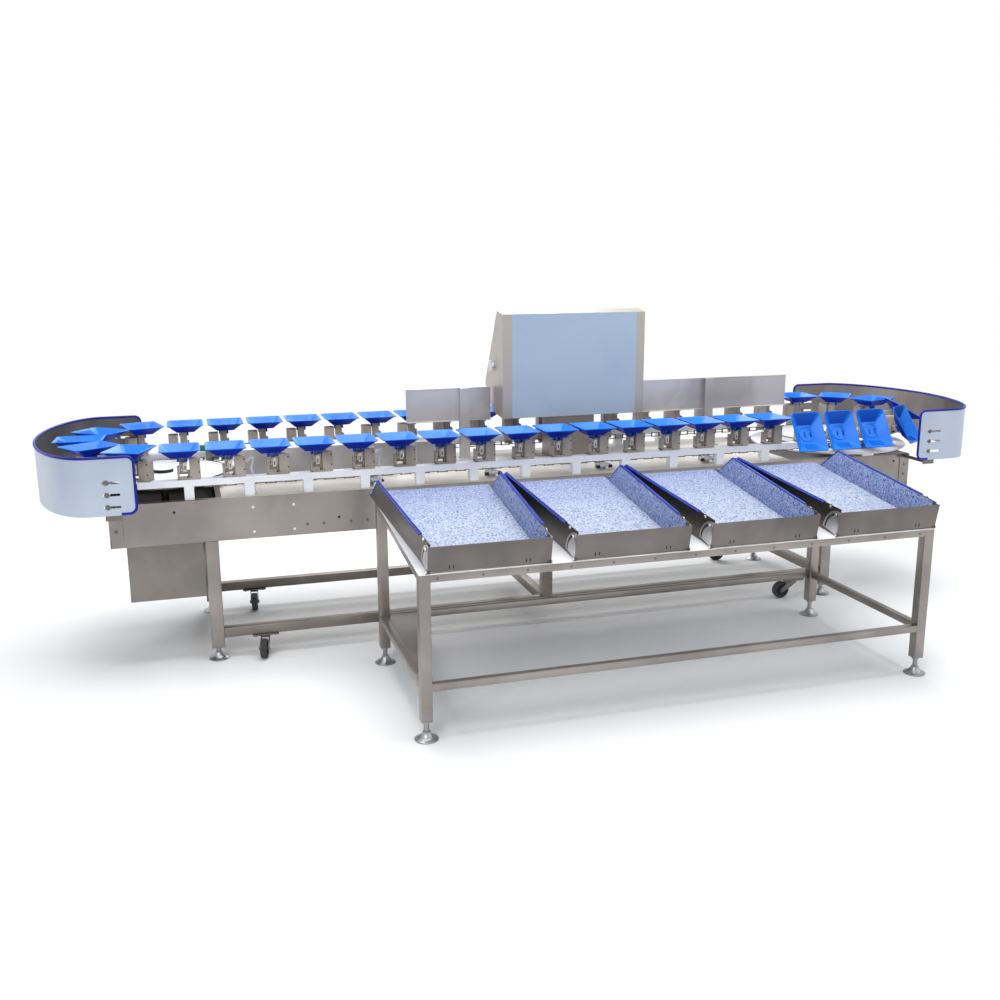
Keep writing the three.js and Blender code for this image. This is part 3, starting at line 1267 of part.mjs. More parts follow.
function build() {
  put('beam_front', beam(true), steel);
  put('beam_rear', beam(false), steel);
  put('end_plate_left', endPlate(true), steel);
  put('end_plate_right', endPlate(false), steel);
  put('deck_plate', deckWithBases(), creamSheet);
  put('end_disc', endDisc(), whitePlastic);
  put('stand', stand(), steel);
  put('guard_left', guard(true), filmed);
  put('guard_right', guard(false), filmed);
  put('ride_rail_front', rideRail(true), whitePlastic);
  put('ride_rail_rear', rideRail(false), whitePlastic);
  put('rear_panel_left', rearPanel(PANEL_LEFT, POST_LEFT_X), steel);
  put('rear_panel_right', rearPanel(PANEL_RIGHT, POST_RIGHT_X), steel);
  put('deck_cover', mainCover(), steel);
  put('signal_box', smallCover(), steel);
  put('weigh_unit', weighUnit(), steel);
  put('drive_box', driveBox(), steel);
  put('gear_motor', gearMotor(), darkPaint);
  put('drive_wheel', chainWheel(LOOP_X, GEAR_BOSS_TOP - SHAFT_DEEP), whitePlastic);
  put('idler_wheel', chainWheel(FAR_X, END_DISC_Z[0]), whitePlastic);
  put('cabinet_shell', cabinetShell(), filmed);
  put('cabinet_pedestal', pedestal(), steel);
  put('cabinet_door', cabinetDoor(), steel);
  put('touch_screen', touchScreen(), glass);
  const places = buttonPlaces();
  put('start_button', pushButton(places[0], BUTTON_R, BUTTON_OUT), greenPlastic);
  put('stop_button', pushButton(places[1], BUTTON_R, BUTTON_OUT), redPlastic);
  put('emergency_stop', pushButton(places[2], STOP_R, STOP_OUT), redPlastic);
  put('cabinet_latch', cabinetLatch(), whitePlastic);
  put('tray_train_front', trayTrain(0, FRONT_TRAYS - 1), creamPlastic);
  put('tray_train_rear', trayTrain(FRONT_TRAYS, TRAYS - 1), creamPlastic);
  const oneTray = tray(true);
  OUTLET_TRAYS.forEach((index, i) => put(`outlet_tray_${i + 1}`, placeOnLoop(oneTray, index), bluePlastic));
  const tippedTray = tipped(oneTray, TIP_ANGLE);
  TIPPED_TRAYS.forEach((index, i) => put(`tipped_tray_${i + 1}`, placeOnLoop(tippedTray, index), bluePlastic));
  TRIPPER_X.forEach((x, i) => put(`tripper_${i + 1}`, tripperLever(x), whitePlastic));
  for (let i = 0; i < CHUTE_COUNT; i += 1) {
    const x = CHUTE_FIRST_X + i * CHUTE_PITCH;
    put(`chute_${i + 1}`, chute(x), feltBlue);
    put(`gate_${i + 1}`, gate(x), steel);
  }
  put('bench_frame', benchFrame(), steel);
  put('bench_sheet', benchSheet(), whitePlastic);
  const rows = [LEG_INSET + LEG / 2, FRAME_DEPTH - LEG_INSET - LEG / 2];
  let count = 0;
  for (const x of CASTER_X) {
    for (const y of rows) {
      count += 1;
      const turn = CASTER_TURNS[count - 1];
      put(`caster_fork_${count}`, casterFork(x, y, turn), steel);
      put(`caster_wheel_${count}`, casterWheel(x, y, turn), rubber);
    }
  }
}

// Puts the origin at the middle of the footprint, on the floor.
function centre() {
  const bounds = new THREE.Box3().setFromObject(root);
  const middle = bounds.getCenter(new THREE.Vector3());
  for (const mesh of root.children) {
    mesh.geometry.translate(-middle.x, -middle.y, -bounds.min.z);
  }
}

build();
centre();

export default root;
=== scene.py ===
# %% [markdown]
# # Weight sorting machine
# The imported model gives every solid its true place. This file dresses it: it gives each solid
# a finish, and puts finer shapes over the plain ones. The first lines load the fixed frame.

# %% load the frame
import math

import bmesh
import bpy
from mathutils import Matrix, Vector


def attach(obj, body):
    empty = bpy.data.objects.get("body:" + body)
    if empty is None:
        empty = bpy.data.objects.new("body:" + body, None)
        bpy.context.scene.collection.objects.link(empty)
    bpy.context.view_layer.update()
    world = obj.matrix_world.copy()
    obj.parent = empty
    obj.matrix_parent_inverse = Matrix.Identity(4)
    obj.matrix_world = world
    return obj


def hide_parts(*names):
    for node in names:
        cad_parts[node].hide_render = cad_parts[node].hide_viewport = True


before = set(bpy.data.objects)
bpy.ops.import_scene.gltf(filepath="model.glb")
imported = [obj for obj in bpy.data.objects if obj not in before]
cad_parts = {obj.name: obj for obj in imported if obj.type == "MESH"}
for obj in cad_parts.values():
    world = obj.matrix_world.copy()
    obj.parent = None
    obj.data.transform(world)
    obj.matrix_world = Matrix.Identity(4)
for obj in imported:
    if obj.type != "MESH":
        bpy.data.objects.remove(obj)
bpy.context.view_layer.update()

# %% [markdown]
# The machine was measured in millimetres from the left end and the front face of its long
# frame. One matrix turns such a place into the metres of the model, whose origin is the middle
# of the footprint. Every shape below is made in machine millimetres and moved once at the end.

# %% units
MM = 0.001
MACHINE_MIDDLE = (1767.0, -60.0)
DEG = math.pi / 180
QUARTER, FULL_TURN = math.pi / 2, 2 * math.pi
moved = Matrix.Translation
to_model = Matrix.Scale(MM, 4) @ moved((-MACHINE_MIDDLE[0], -MACHINE_MIDDLE[1], 0))


def spun(angle, axis):
    return Matrix.Rotation(angle, 4, axis)


def spot(x, y, z):
    return to_model @ Vector((x, y, z))


print("left end of the frame is at", spot(0, 0, 0))

# %% [markdown]
# The camera repeats the photograph's own. Its place and angles came from matching straight
# edges of known direction; the lens follows from the focal length in pixels of a square image.

# %% camera
IMAGE = 1000
FOCAL_PIXELS = 1059.49
SENSOR = 36.0
CAMERA_AT = (277.0, -4038.0, 1531.7)
YAW, DOWN, ROLL = 0.2949, 0.2263, -0.0040

ahead = Vector((math.sin(YAW) * math.cos(DOWN), math.cos(YAW) * math.cos(DOWN), -math.sin(DOWN)))
level = Vector((math.cos(YAW), -math.sin(YAW), 0))
upward = level.cross(ahead)
right = level * math.cos(ROLL) + upward * math.sin(ROLL)
upward = upward * math.cos(ROLL) - level * math.sin(ROLL)
turn = Matrix((right, upward, -ahead)).transposed().to_4x4()

scene = bpy.context.scene
camera_data = bpy.data.cameras.new("camera")
camera_data.sensor_width = SENSOR
camera_data.lens = SENSOR * FOCAL_PIXELS / IMAGE
camera_data.clip_end = 100
camera = bpy.data.objects.new("camera", camera_data)
camera.matrix_world = moved(spot(*CAMERA_AT)) @ turn
scene.collection.objects.link(camera)
scene.camera = camera
print("lens", round(camera_data.lens, 2), "mm")

# %% [markdown]
# Light comes from a pale sky and four large soft lamps. What the camera, gloss and glass see of
# the surroundings is plain white, so the lamps never have to be turned up for a white backdrop.
# Two short helpers add shader nodes and join them; all the materials use them too.

# %% lights
SKY_TONE, SKY_STRENGTH = (0.93, 0.96, 1.0, 1), 0.48
LAMP_AIM = Vector((0, 0, 0.6))
# name, place in metres, width in metres, power in watts
LAMPS = (("key_lamp", (-3.2, -4.2, 4.6), 2.6, 105), ("fill_lamp", (4.5, -2.5, 3.4), 3.2, 45),
         ("back_lamp", (0.5, 5.0, 4.2), 3.2, 110), ("top_lamp", (0, 0.4, 5.4), 4.0, 260))


def add(tree, kind, mode=None, **values):
    """A new shader node: mode is its operation, and the values go to its inputs."""
    node = tree.nodes.new("ShaderNode" + kind)
    if mode:
        node.operation = mode
    for label, value in values.items():
        node.inputs[label.replace("_", " ")].default_value = value
    return node


def join(tree, *pairs):
    for output, target in pairs:
        tree.links.new(output, target)


scene.view_settings.view_transform = "Standard"
world = bpy.data.worlds.new("studio")
scene.world = world
world.use_nodes = True
sky = world.node_tree
sky.nodes.clear()
sky_light = add(sky, "Background", Color=SKY_TONE, Strength=SKY_STRENGTH)
sky_seen = add(sky, "Background", Color=(1, 1, 1, 1), Strength=1.0)
sky_mix = add(sky, "MixShader")
rays = add(sky, "LightPath").outputs
seen, seen_or_gloss = add(sky, "Math", "MAXIMUM"), add(sky, "Math", "MAXIMUM")
join(sky,
     (rays["Is Camera Ray"], seen.inputs[0]),
     (rays["Is Transmission Ray"], seen.inputs[1]),
     (seen.outputs[0], seen_or_gloss.inputs[0]),
     (rays["Is Glossy Ray"], seen_or_gloss.inputs[1]),
     (seen_or_gloss.outputs[0], sky_mix.inputs["Fac"]),
     (sky_light.outputs[0], sky_mix.inputs[1]),
     (sky_seen.outputs[0], sky_mix.inputs[2]),
     (sky_mix.outputs[0], add(sky, "OutputWorld").inputs["Surface"]))

for name, place, width, watts in LAMPS:
    data = bpy.data.lights.new(name, "AREA")
    data.shape = "SQUARE"
    data.size = width
    data.energy = watts
    lamp = bpy.data.objects.new(name, data)
    lamp.rotation_euler = (LAMP_AIM - Vector(place)).to_track_quat("-Z", "Y").to_euler()
    lamp.location = place
    scene.collection.objects.link(lamp)
print(len(LAMPS), "lamps")

# %% [markdown]
# The floor is pale near the machine and fades into the white of the backdrop further out, so
# that no horizon shows.

# %% floor
FLOOR_REACH = 30
FLOOR_TONE = (0.95, 0.955, 0.96, 1)
FADE_FROM, FADE_TO = 1.6, 5.0

floor_shape = bmesh.new()
bmesh.ops.create_grid(floor_shape, x_segments=1, y_segments=1, size=FLOOR_REACH)
floor_mesh = bpy.data.meshes.new("floor")
floor_shape.to_mesh(floor_mesh)
floor_shape.free()
floor = bpy.data.objects.new("floor", floor_mesh)
scene.collection.objects.link(floor)
floor_finish = bpy.data.materials.new("pale floor")
floor_finish.use_nodes = True
tree = floor_finish.node_tree
matt = tree.nodes["Principled BSDF"]
matt.inputs["Base Color"].default_value = FLOOR_TONE
matt.inputs["Roughness"].default_value = 0.85
away = add(tree, "VectorMath", "LENGTH")
fade = add(tree, "MapRange", From_Min=FADE_FROM, From_Max=FADE_TO)
fade.interpolation_type = "SMOOTHSTEP"
floor_mix = add(tree, "MixShader")
join(tree,
     (add(tree, "TexCoord").outputs["Object"], away.inputs[0]),
     (away.outputs["Value"], fade.inputs["Value"]),
     (fade.outputs["Result"], floor_mix.inputs["Fac"]),
     (matt.outputs["BSDF"], floor_mix.inputs[1]),
     (add(tree, "Emission").outputs["Emission"], floor_mix.inputs[2]),
     (floor_mix.outputs["Shader"], tree.nodes["Material Output"].inputs["Surface"]))
floor.data.materials.append(floor_finish)
print("floor", FLOOR_REACH, "m each way")

# %% [markdown]
# Surfaces share three effects: long scratches of brushed metal, cloudy smudges, and fine grit.
# Each is a node group, built once, which puts out a mask. The material that uses it decides
# what the mask does, so one group serves steel, paint, plastic and felt.

# %% shared effects


def effect(name, label, kind, value):
    """A group with a place, one more input, a noise texture and a mask."""
    tree = bpy.data.node_groups.new(name, "ShaderNodeTree")
    tree.interface.new_socket("Place", in_out="INPUT", socket_type="NodeSocketVector")
    tree.interface.new_socket(label, in_out="INPUT", socket_type=kind).default_value = value
    tree.interface.new_socket("Mask", in_out="OUTPUT", socket_type="NodeSocketFloat")
    source, result = tree.nodes.new("NodeGroupInput"), tree.nodes.new("NodeGroupOutput")
    return tree, source.outputs, result.inputs["Mask"], add(tree, "TexNoise")


scratches, source, mask, noise = effect("long scratches", "Along", "NodeSocketVector", (2, 90, 90))
for label, value in (("Scale", 6), ("Detail", 5), ("Roughness", 0.65)):
    noise.inputs[label].default_value = value
stretch = add(scratches, "VectorMath", "MULTIPLY")
join(scratches, (source["Place"], stretch.inputs[0]), (source["Along"], stretch.inputs[1]),
     (stretch.outputs[0], noise.inputs["Vector"]), (noise.outputs[0], mask))

smudges, source, mask, noise = effect("smudges", "Size", "NodeSocketFloat", 4.0)
noise.inputs["Detail"].default_value = 3
noise.inputs["Distortion"].default_value = 0.6
spread = add(smudges, "MapRange", From_Min=0.35, From_Max=0.68)
spread.interpolation_type = "SMOOTHSTEP"
join(smudges, (source["Place"], noise.inputs["Vector"]), (source["Size"], noise.inputs["Scale"]),
     (noise.outputs[0], spread.inputs["Value"]), (spread.outputs[0], mask))

grit, source, mask, noise = effect("grit", "Size", "NodeSocketFloat", 400.0)
noise.inputs["Detail"].default_value = 2
join(grit, (source["Place"], noise.inputs["Vector"]), (source["Size"], noise.inputs["Scale"]),
     (noise.outputs[0], mask))
print("effects:", [tree.name for tree in bpy.data.node_groups])

# %% [markdown]
# A finish is one Principled shader. Its colour runs between two close tones by the smudge mask,
# its roughness runs between two values by another mask, and a bump gives the grain. Two
# functions make the plain finishes, one for steel and one for plastic, paint and rubber.

# %% plain finishes


class Finish:
    """A material with its shader at hand, and short words for wiring effects into it."""

    def __init__(self, name, **values):
        self.material = bpy.data.materials.new(name)
        self.material.use_nodes = True
        self.tree = self.material.node_tree
        self.shader = self.tree.nodes["Principled BSDF"]
        self.place = add(self.tree, "TexCoord").outputs
        for label, value in values.items():
            self.shader.inputs[label.replace("_", " ")].default_value = value

    def mask(self, group, **values):
        node = self.tree.nodes.new("ShaderNodeGroup")
        node.node_tree = group
        join(self.tree, (self.place["Object"], node.inputs["Place"]))
        for label, value in values.items():
            node.inputs[label].default_value = value
        return node.outputs["Mask"]

    def tones(self, mask, first, second):
        """Runs from the first colour to the second by a mask; each is a tone or an output."""
        mix = self.tree.nodes.new("ShaderNodeMix")
        mix.data_type = "RGBA"
        for label, colour in (("A", first), ("B", second)):
            if isinstance(colour, tuple):
                mix.inputs[label].default_value = (*colour, 1)
            else:
                join(self.tree, (colour, mix.inputs[label]))
        join(self.tree, (mask, mix.inputs["Factor"]))
        return mix.outputs["Result"]

    def between(self, mask, low, high, first=0.0, last=1.0):
        """Stretches the part of a mask from first to last over the values from low to high."""
        span = add(self.tree, "MapRange", From_Min=first, From_Max=last, To_Min=low, To_Max=high)
        join(self.tree, (mask, span.inputs["Value"]))
        return span.outputs["Result"]

    def math(self, mode, first, second):
        node = add(self.tree, "Math", mode)
        join(self.tree, (first, node.inputs[0]))
        if isinstance(second, float):
            node.inputs[1].default_value = second
        else:
            join(self.tree, (second, node.inputs[1]))
        return node.outputs[0]

    def axis(self, label, kind="Object"):
        """One coordinate of the place, or of the way the surface faces."""
        parts = add(self.tree, "SeparateXYZ")
        join(self.tree, (self.place[kind], parts.inputs[0]))
        return parts.outputs[label]

    def set(self, label, output):
        join(self.tree, (output, self.shader.inputs[label]))

    def bump(self, mask, strength, depth):
        node = add(self.tree, "Bump", Strength=strength, Distance=depth)
        join(self.tree, (mask, node.inputs["Height"]))
        self.set("Normal", node.outputs["Normal"])


def linear(red, green, blue):
    share = [channel / 255 for channel in (red, green, blue)]
    return tuple(c / 12.92 if c <= 0.04045 else ((c + 0.055) / 1.055) ** 2.4 for c in share)


ALONG_X, ALONG_Y, ALONG_Z = (2, 90, 90), (90, 2, 90), (90, 90, 2)


def brushed(name, along, tone=(157, 151, 147), shine=0.9):
    finish = Finish(name, Metallic=shine)
    marks = finish.mask(scratches, Along=along)
    clouds = finish.mask(smudges, Size=3.5)
    light, dark = linear(*tone), linear(*(t * 0.86 for t in tone))
    finish.set("Base Color", finish.tones(clouds, light, dark))
    finish.set("Roughness", finish.between(marks, 0.26, 0.5))
    finish.bump(marks, 0.12, 0.0004)
    return finish.material


def moulded(name, tone, second, rough=0.42, grain=500.0, coat=0.0, gloss=0.5):
    finish = Finish(name, Coat_Weight=coat, Coat_Roughness=0.2, Specular_IOR_Level=gloss)
    clouds = finish.mask(smudges, Size=6.0)
    finish.set("Base Color", finish.tones(clouds, linear(*tone), linear(*second)))
    finish.set("Roughness", finish.between(clouds, rough, rough + 0.12))
    finish.bump(finish.mask(grit, Size=grain), 0.10, 0.0003)
    return finish.material


steel = brushed("brushed steel", ALONG_X)
steel_upright = brushed("brushed steel upright", ALONG_Z)
steel_across = brushed("brushed steel across", ALONG_Y)
bright_steel = brushed("bright steel", ALONG_X, (206, 204, 206))
box_steel = brushed("drive box steel", ALONG_Z, (130, 125, 120))
dark_steel = brushed("dull steel", (6, 60, 60), (120, 116, 112), 0.85)
shaded_steel = brushed("shaded steel", ALONG_X, (118, 116, 118), 0.85)
tube_steel = brushed("tube steel", ALONG_X, (134, 128, 121))
gate_steel = brushed("gate steel", ALONG_X, (120, 115, 113))
# the chute steel is darker than the other steel: painted shade for the dark gaps between neighbouring
# chutes
chute_steel_with_shade = brushed("chute steel with painted shade", ALONG_Y, (112, 108, 104))
chrome = brushed("polished chrome", (8, 8, 30), (176, 177, 180), 1.0)
chrome_light = brushed("polished bolts", (8, 8, 30), (236, 236, 238), 1.0)
rail_white = moulded("rail plastic", (244, 246, 250), (232, 236, 244), 0.38)
white = moulded("white plastic", (240, 241, 243), (226, 228, 231), 0.4)
cream = moulded("carrier plastic", (182, 172, 160), (152, 142, 130), 0.5)
cream_light = moulded("pale latch plastic", (236, 230, 220), (214, 206, 194), 0.5)
navy = moulded("navy edge trim", (16, 30, 150), (12, 24, 126), 0.35, gloss=0.25)
royal = moulded("royal edge trim", (12, 52, 168), (8, 44, 150), 0.4, gloss=0.3)
deck_paint = moulded("deck paint", (222, 218, 209), (206, 201, 191), 0.45)
black = moulded("black rubber", (28, 28, 30), (40, 40, 43), 0.6)
grey_rubber = moulded("grey tread", (70, 70, 72), (56, 56, 58), 0.7)
machine_paint = moulded("motor paint", (52, 58, 66), (40, 45, 52), 0.5)
green = moulded("green guide", (20, 120, 82), (12, 98, 66), 0.4)
signal_green = moulded("start green", (26, 150, 66), (20, 132, 56), 0.3, 900.0, 0.3)
signal_red = moulded("stop red", (205, 24, 24), (180, 18, 18), 0.3, 900.0, 0.3)
signal_yellow = moulded("collar yellow", (240, 196, 20), (224, 180, 14), 0.35)
screen_glass = moulded("screen glass", (16, 20, 26), (22, 27, 34), 0.08, 900.0, 0.6)
print(len(bpy.data.materials), "finishes so far")

# %% [markdown]
# The trays are azure plastic. Painted shade: where a surface turns down, away from the light,
# a deep blue tone and less gloss are mixed in by how far it faces up, so the undersides look
# shaded.

# %% tray plastic
tray_finish = Finish("tray plastic")
tray_clouds = tray_finish.mask(smudges, Size=6.0)
tray_azure = tray_finish.tones(tray_clouds, linear(16, 122, 232), linear(10, 112, 224))
# painted shade: deep blue and less gloss where the surface faces down, azure where it faces up
tray_painted_light = tray_finish.between(tray_finish.axis("Z", "Normal"), 0, 1, -0.25, 0.35)
tray_finish.set("Base Color", tray_finish.tones(tray_painted_light, linear(2, 36, 152), tray_azure))
tray_finish.set("Specular IOR Level", tray_finish.between(tray_painted_light, 0.03, 0.3))
tray_finish.set("Roughness", tray_finish.between(tray_clouds, 0.3, 0.42))
tray_finish.bump(tray_finish.mask(grit, Size=900.0), 0.08, 0.0003)
blue = tray_finish.material
print("tray plastic ready")

# %% [markdown]
# New sheet steel leaves the maker under a thin blue-grey protective film. It is smoother than
# the steel and has faint wrinkles. On the cabinet it covers only the front, and it stops short
# of both side edges, so two upright strips stay bare; steps on X and on the normal draw that.

# %% protective film
BARE_LEFT, BARE_RIGHT = 1662, 2240
BARE_STEEL = linear(178, 173, 167)


def filmed(name, tone, second, bare=None):
    finish = Finish(name, Coat_Weight=0.12, Coat_Roughness=0.2, Metallic=0.25)
    clouds = finish.mask(smudges, Size=2.2)
    colour = finish.tones(clouds, linear(*tone), linear(*second))
    if bare:
        side_to_side, facing = finish.axis("X"), finish.axis("Y", "Normal")
        film = finish.math("MULTIPLY", finish.math("GREATER_THAN", side_to_side, bare[0]),
                           finish.math("LESS_THAN", side_to_side, bare[1]))
        film = finish.math("MULTIPLY", film, finish.math("LESS_THAN", facing, -0.5))
        colour = finish.tones(film, BARE_STEEL, colour)
        finish.set("Metallic", finish.between(film, 0.85, 0.12))
    finish.set("Base Color", colour)
    finish.set("Roughness", finish.between(clouds, 0.36, 0.48))
    finish.bump(finish.mask(scratches, Along=(3, 3, 1.2)), 0.22, 0.0012)
    return finish.material


cabinet_film = filmed("cabinet film", (172, 190, 209), (162, 180, 201),
                      (spot(BARE_LEFT, 0, 0).x, spot(BARE_RIGHT, 0, 0).x))
guard_film = filmed("guard film", (184, 195, 212), (172, 184, 203))
print("film on", BARE_RIGHT - BARE_LEFT, "mm of the cabinet's width")

# %% [markdown]
# The chutes are lined with soft blue felt so that fruit is not bruised. Felt has no gloss, a
# mottled colour of matted fibres, and flecks darker and paler than its ground. It is bluer at
# the top of the slope, where less light falls.

# %% felt


def felted(name, tone, second, fleck, pale, shaded):
    finish = Finish(name, Roughness=0.95, Sheen_Weight=0.15, Sheen_Roughness=0.5)
    ground = finish.tones(finish.mask(smudges, Size=60.0), linear(*tone), linear(*second))
    top = finish.between(finish.axis("Y"), 0, 0.7, spot(0, -520, 0).y, spot(0, -150, 0).y)
    ground = finish.tones(top, ground, linear(*shaded))
    for size, low, high, colour in ((110.0, 0.54, 0.62, fleck), (190.0, 0.56, 0.64, pale)):
        cut = finish.between(finish.mask(grit, Size=size), 0, 1, low, high)
        ground = finish.tones(cut, ground, linear(*colour))
    finish.set("Base Color", ground)
    finish.bump(finish.mask(grit, Size=900.0), 0.5, 0.0012)
    return finish.material


felt_floor = felted("felt floor", (177, 185, 201), (152, 163, 189), (84, 104, 160), (212, 219, 232),
                    (112, 134, 186))
felt_wall = felted("felt wall", (134, 153, 194), (104, 124, 175), (46, 66, 136), (182, 194, 222),
                   (96, 120, 182))
print("felt ready")

# %% [markdown]
# Small helpers make the basic forms with mesh operators: a softened block, a rod between two
# points, a turned body, a flat outline pushed to a thickness, and a round bead along a line. A
# stamp copies one finished form to many places, and `finished` makes a piece of the model of it.

# %% mesh helpers
UP = Vector((0, 0, 1))


def bevel(shape, geom, width, steps=2, what="EDGES", **more):
    bmesh.ops.bevel(shape, geom=geom, offset=width, offset_type="OFFSET", segments=steps, profile=0.5,
                    affect=what, material=-1, **more)


def block(low, high, soft=1.0, steps=2):
    shape = bmesh.new()
    size = [b - a for a, b in zip(low, high)]
    middle = [(a + b) / 2 for a, b in zip(low, high)]
    bmesh.ops.create_cube(shape, size=1, matrix=moved(middle) @ Matrix.Diagonal((*size, 1)))
    if soft:
        bevel(shape, shape.edges[:], soft, steps)
    return shape


def rod(start, end, radius, sides=24, soft=0.0):
    shape = bmesh.new()
    start, end = Vector(start), Vector(end)
    place = moved((start + end) / 2) @ UP.rotation_difference(end - start).to_matrix().to_4x4()
    bmesh.ops.create_cone(shape, cap_ends=True, segments=sides, radius1=radius, radius2=radius,
                          depth=(end - start).length, matrix=place)
    if soft:
        rims = [edge for edge in shape.edges if any(len(face.verts) > 4 for face in edge.link_faces)]
        bevel(shape, rims, soft)
    return shape


def turned(profile, steps=48, place=Matrix()):
    shape = bmesh.new()
    points = [shape.verts.new((radius, 0, height)) for radius, height in profile]
    edges = [shape.edges.new(pair) for pair in zip(points, points[1:])]
    bmesh.ops.spin(shape, geom=points + edges, cent=(0, 0, 0), axis=UP, angle=FULL_TURN, steps=steps,
                   use_merge=True)
    bmesh.ops.remove_doubles(shape, verts=shape.verts[:], dist=0.001)
    bmesh.ops.recalc_face_normals(shape, faces=shape.faces[:])
    shape.transform(place)
    return shape


def pushed(points, way, soft=0.0, steps=2):
    shape = bmesh.new()
    face = shape.faces.new([shape.verts.new(point) for point in points])
    made = bmesh.ops.extrude_face_region(shape, geom=[face])
    bmesh.ops.translate(shape, verts=made_verts(made), vec=way)
    bmesh.ops.recalc_face_normals(shape, faces=shape.faces[:])
    if soft:
        bevel(shape, shape.edges[:], soft, steps)
    return shape


def made_verts(made):
    return [item for item in made["geom"] if isinstance(item, bmesh.types.BMVert)]


def across(x, outline):
    """A flat outline of y and z values, set at one x."""
    return [(x, y, z) for y, z in outline]


def bead(points, radius):
    line = bpy.data.curves.new("bead", "CURVE")
    line.dimensions = "3D"
    line.bevel_depth = radius
    line.bevel_resolution = 3
    line.use_fill_caps = True
    path = line.splines.new("POLY")
    path.points.add(len(points) - 1)
    for point, place in zip(path.points, points):
        point.co = (*place, 1)
    shape = evaluated(bpy.data.objects.new("bead", line))
    bmesh.ops.recalc_face_normals(shape, faces=shape.faces[:])
    return shape


def evaluated(thing):
    """The mesh that an object shows, with its modifiers, as a free shape."""
    if thing.name not in scene.collection.objects:
        scene.collection.objects.link(thing)
    bpy.context.view_layer.update()
    mesh = bpy.data.meshes.new_from_object(thing.evaluated_get(bpy.context.evaluated_depsgraph_get()))
    bpy.data.objects.remove(thing)
    shape = bmesh.new()
    shape.from_mesh(mesh)
    bpy.data.meshes.remove(mesh)
    return shape


def stamp(target, shape, place=Matrix(), keep=False):
    mesh = bpy.data.meshes.new("stamp")
    shape.to_mesh(mesh)
    mesh.transform(place)
    target.from_mesh(mesh)
    bpy.data.meshes.remove(mesh)
    if not keep:
        shape.free()


def blocks(target, rows, at=lambda *point: point):
    """Stamps one block for each row: two corners, a softness and perhaps its steps."""
    for row in rows:
        stamp(target, block(at(*row[:3]), at(*row[3:6]), *row[6:]))


def gathered(*shapes):
    whole = bmesh.new()
    for shape in shapes:
        stamp(whole, shape)
    return whole


def cut_away(shape, cutters):
    """Cuts one shape by others with the exact boolean, and gives the result back."""
    things = []
    for item in (shape, gathered(*cutters)):
        mesh = bpy.data.meshes.new("cut")
        item.to_mesh(mesh)
        item.free()
        things.append(bpy.data.objects.new("cut", mesh))
        scene.collection.objects.link(things[-1])
    cut = things[0].modifiers.new("cut", "BOOLEAN")
    cut.operation = "DIFFERENCE"
    cut.solver = "EXACT"
    cut.use_self = True
    cut.object = things[1]
    result_shape = evaluated(things[0])
    bpy.data.objects.remove(things[1])
    return result_shape


def finished(shape, name, finish, body="machine", hides=(), crease=35):
    shape.transform(to_model)
    mesh = bpy.data.meshes.new(name)
    shape.to_mesh(mesh)
    shape.free()
    for polygon in mesh.polygons:
        polygon.use_smooth = True
    mesh.set_sharp_from_angle(angle=crease * DEG)
    mesh.materials.append(finish)
    piece = bpy.data.objects.new(name, mesh)
    scene.collection.objects.link(piece)
    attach(piece, body)
    if hides:
        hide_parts(*hides)
    print(name, len(mesh.polygons), "faces")
    return piece


SMALL_FACE = 0.0001


def softened(node, finish, width=1.0, body="machine"):
    """A copy of a CAD solid with clean flat faces and softened edges takes the solid's place."""
    shape = bmesh.new()
    shape.from_mesh(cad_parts[node].data)
    bmesh.ops.remove_doubles(shape, verts=shape.verts[:], dist=0.00002)
    bmesh.ops.dissolve_limit(shape, angle_limit=1 * DEG, verts=shape.verts[:], edges=shape.edges[:])
    sharp = [edge for edge in shape.edges
             if len(edge.link_faces) == 2 and edge.calc_face_angle(0) > 30 * DEG]
    bevel(shape, sharp, width * MM, clamp_overlap=True)
    shape.transform(to_model.inverted())
    piece = finished(shape, node + "_sheet", finish, body, [node])
    for polygon in piece.data.polygons:
        polygon.use_smooth = polygon.area < SMALL_FACE
    return piece


print("helpers ready")

# %% [markdown]
# The long frame, the deck, the covers and the rear screens are folded sheet. Their solids have
# the right shape already, so each gets a copy with softened edges and a brushed finish that
# follows the way the real sheet was ground.

# %% sheet metal that keeps its solid's shape
for node in ("beam_front", "beam_rear"):
    softened(node, steel, 0.8)
for node in ("end_plate_left", "end_plate_right"):
    softened(node, steel_across, 0.8)
for node in ("rear_panel_left", "rear_panel_right", "deck_cover", "signal_box"):
    softened(node, bright_steel, 0.7)
softened("weigh_unit", steel, 0.7)
softened("drive_box", box_steel, 0.7)
softened("cabinet_pedestal", steel_upright, 0.7)
softened("deck_plate", deck_paint, 0.6)
softened("gear_motor", machine_paint, 1.5)
softened("bench_sheet", white, 0.5)
for node in ("ride_rail_front", "ride_rail_rear"):
    softened(node, rail_white, 1.2)

# %% [markdown]
# The loop of trays is a half circle at each end and two straight rows. This function gives the
# place of any tray on it; a tray is modelled once, in the frame of the front row, and stamped.

# %% the loop
PITCH = 165
CHAIN_R = 5 * PITCH / math.pi
RUN = 18.5 * PITCH
LOOP_X, LOOP_Y = 197, 329
FIRST_TRAY = 68
PIVOT_N, PIVOT_Z = 21, 744
TRAY_N, TRAY_FLOOR = 41, 812


def loop_place(way):
    """The place and turn of a point on the loop, by the way to it from the start of the front row."""
    half = math.pi * CHAIN_R
    way = way % (2 * RUN + 2 * half)
    if way <= RUN:
        return moved((LOOP_X + way, LOOP_Y, 0))
    way -= RUN
    if way < half:
        return moved((LOOP_X + RUN, LOOP_Y, 0)) @ spun(way / CHAIN_R, "Z")
    way -= half
    if way <= RUN:
        return moved((LOOP_X + RUN - way, LOOP_Y, 0)) @ spun(math.pi, "Z")
    way -= RUN
    return moved((LOOP_X, LOOP_Y, 0)) @ spun(math.pi + way / CHAIN_R, "Z")


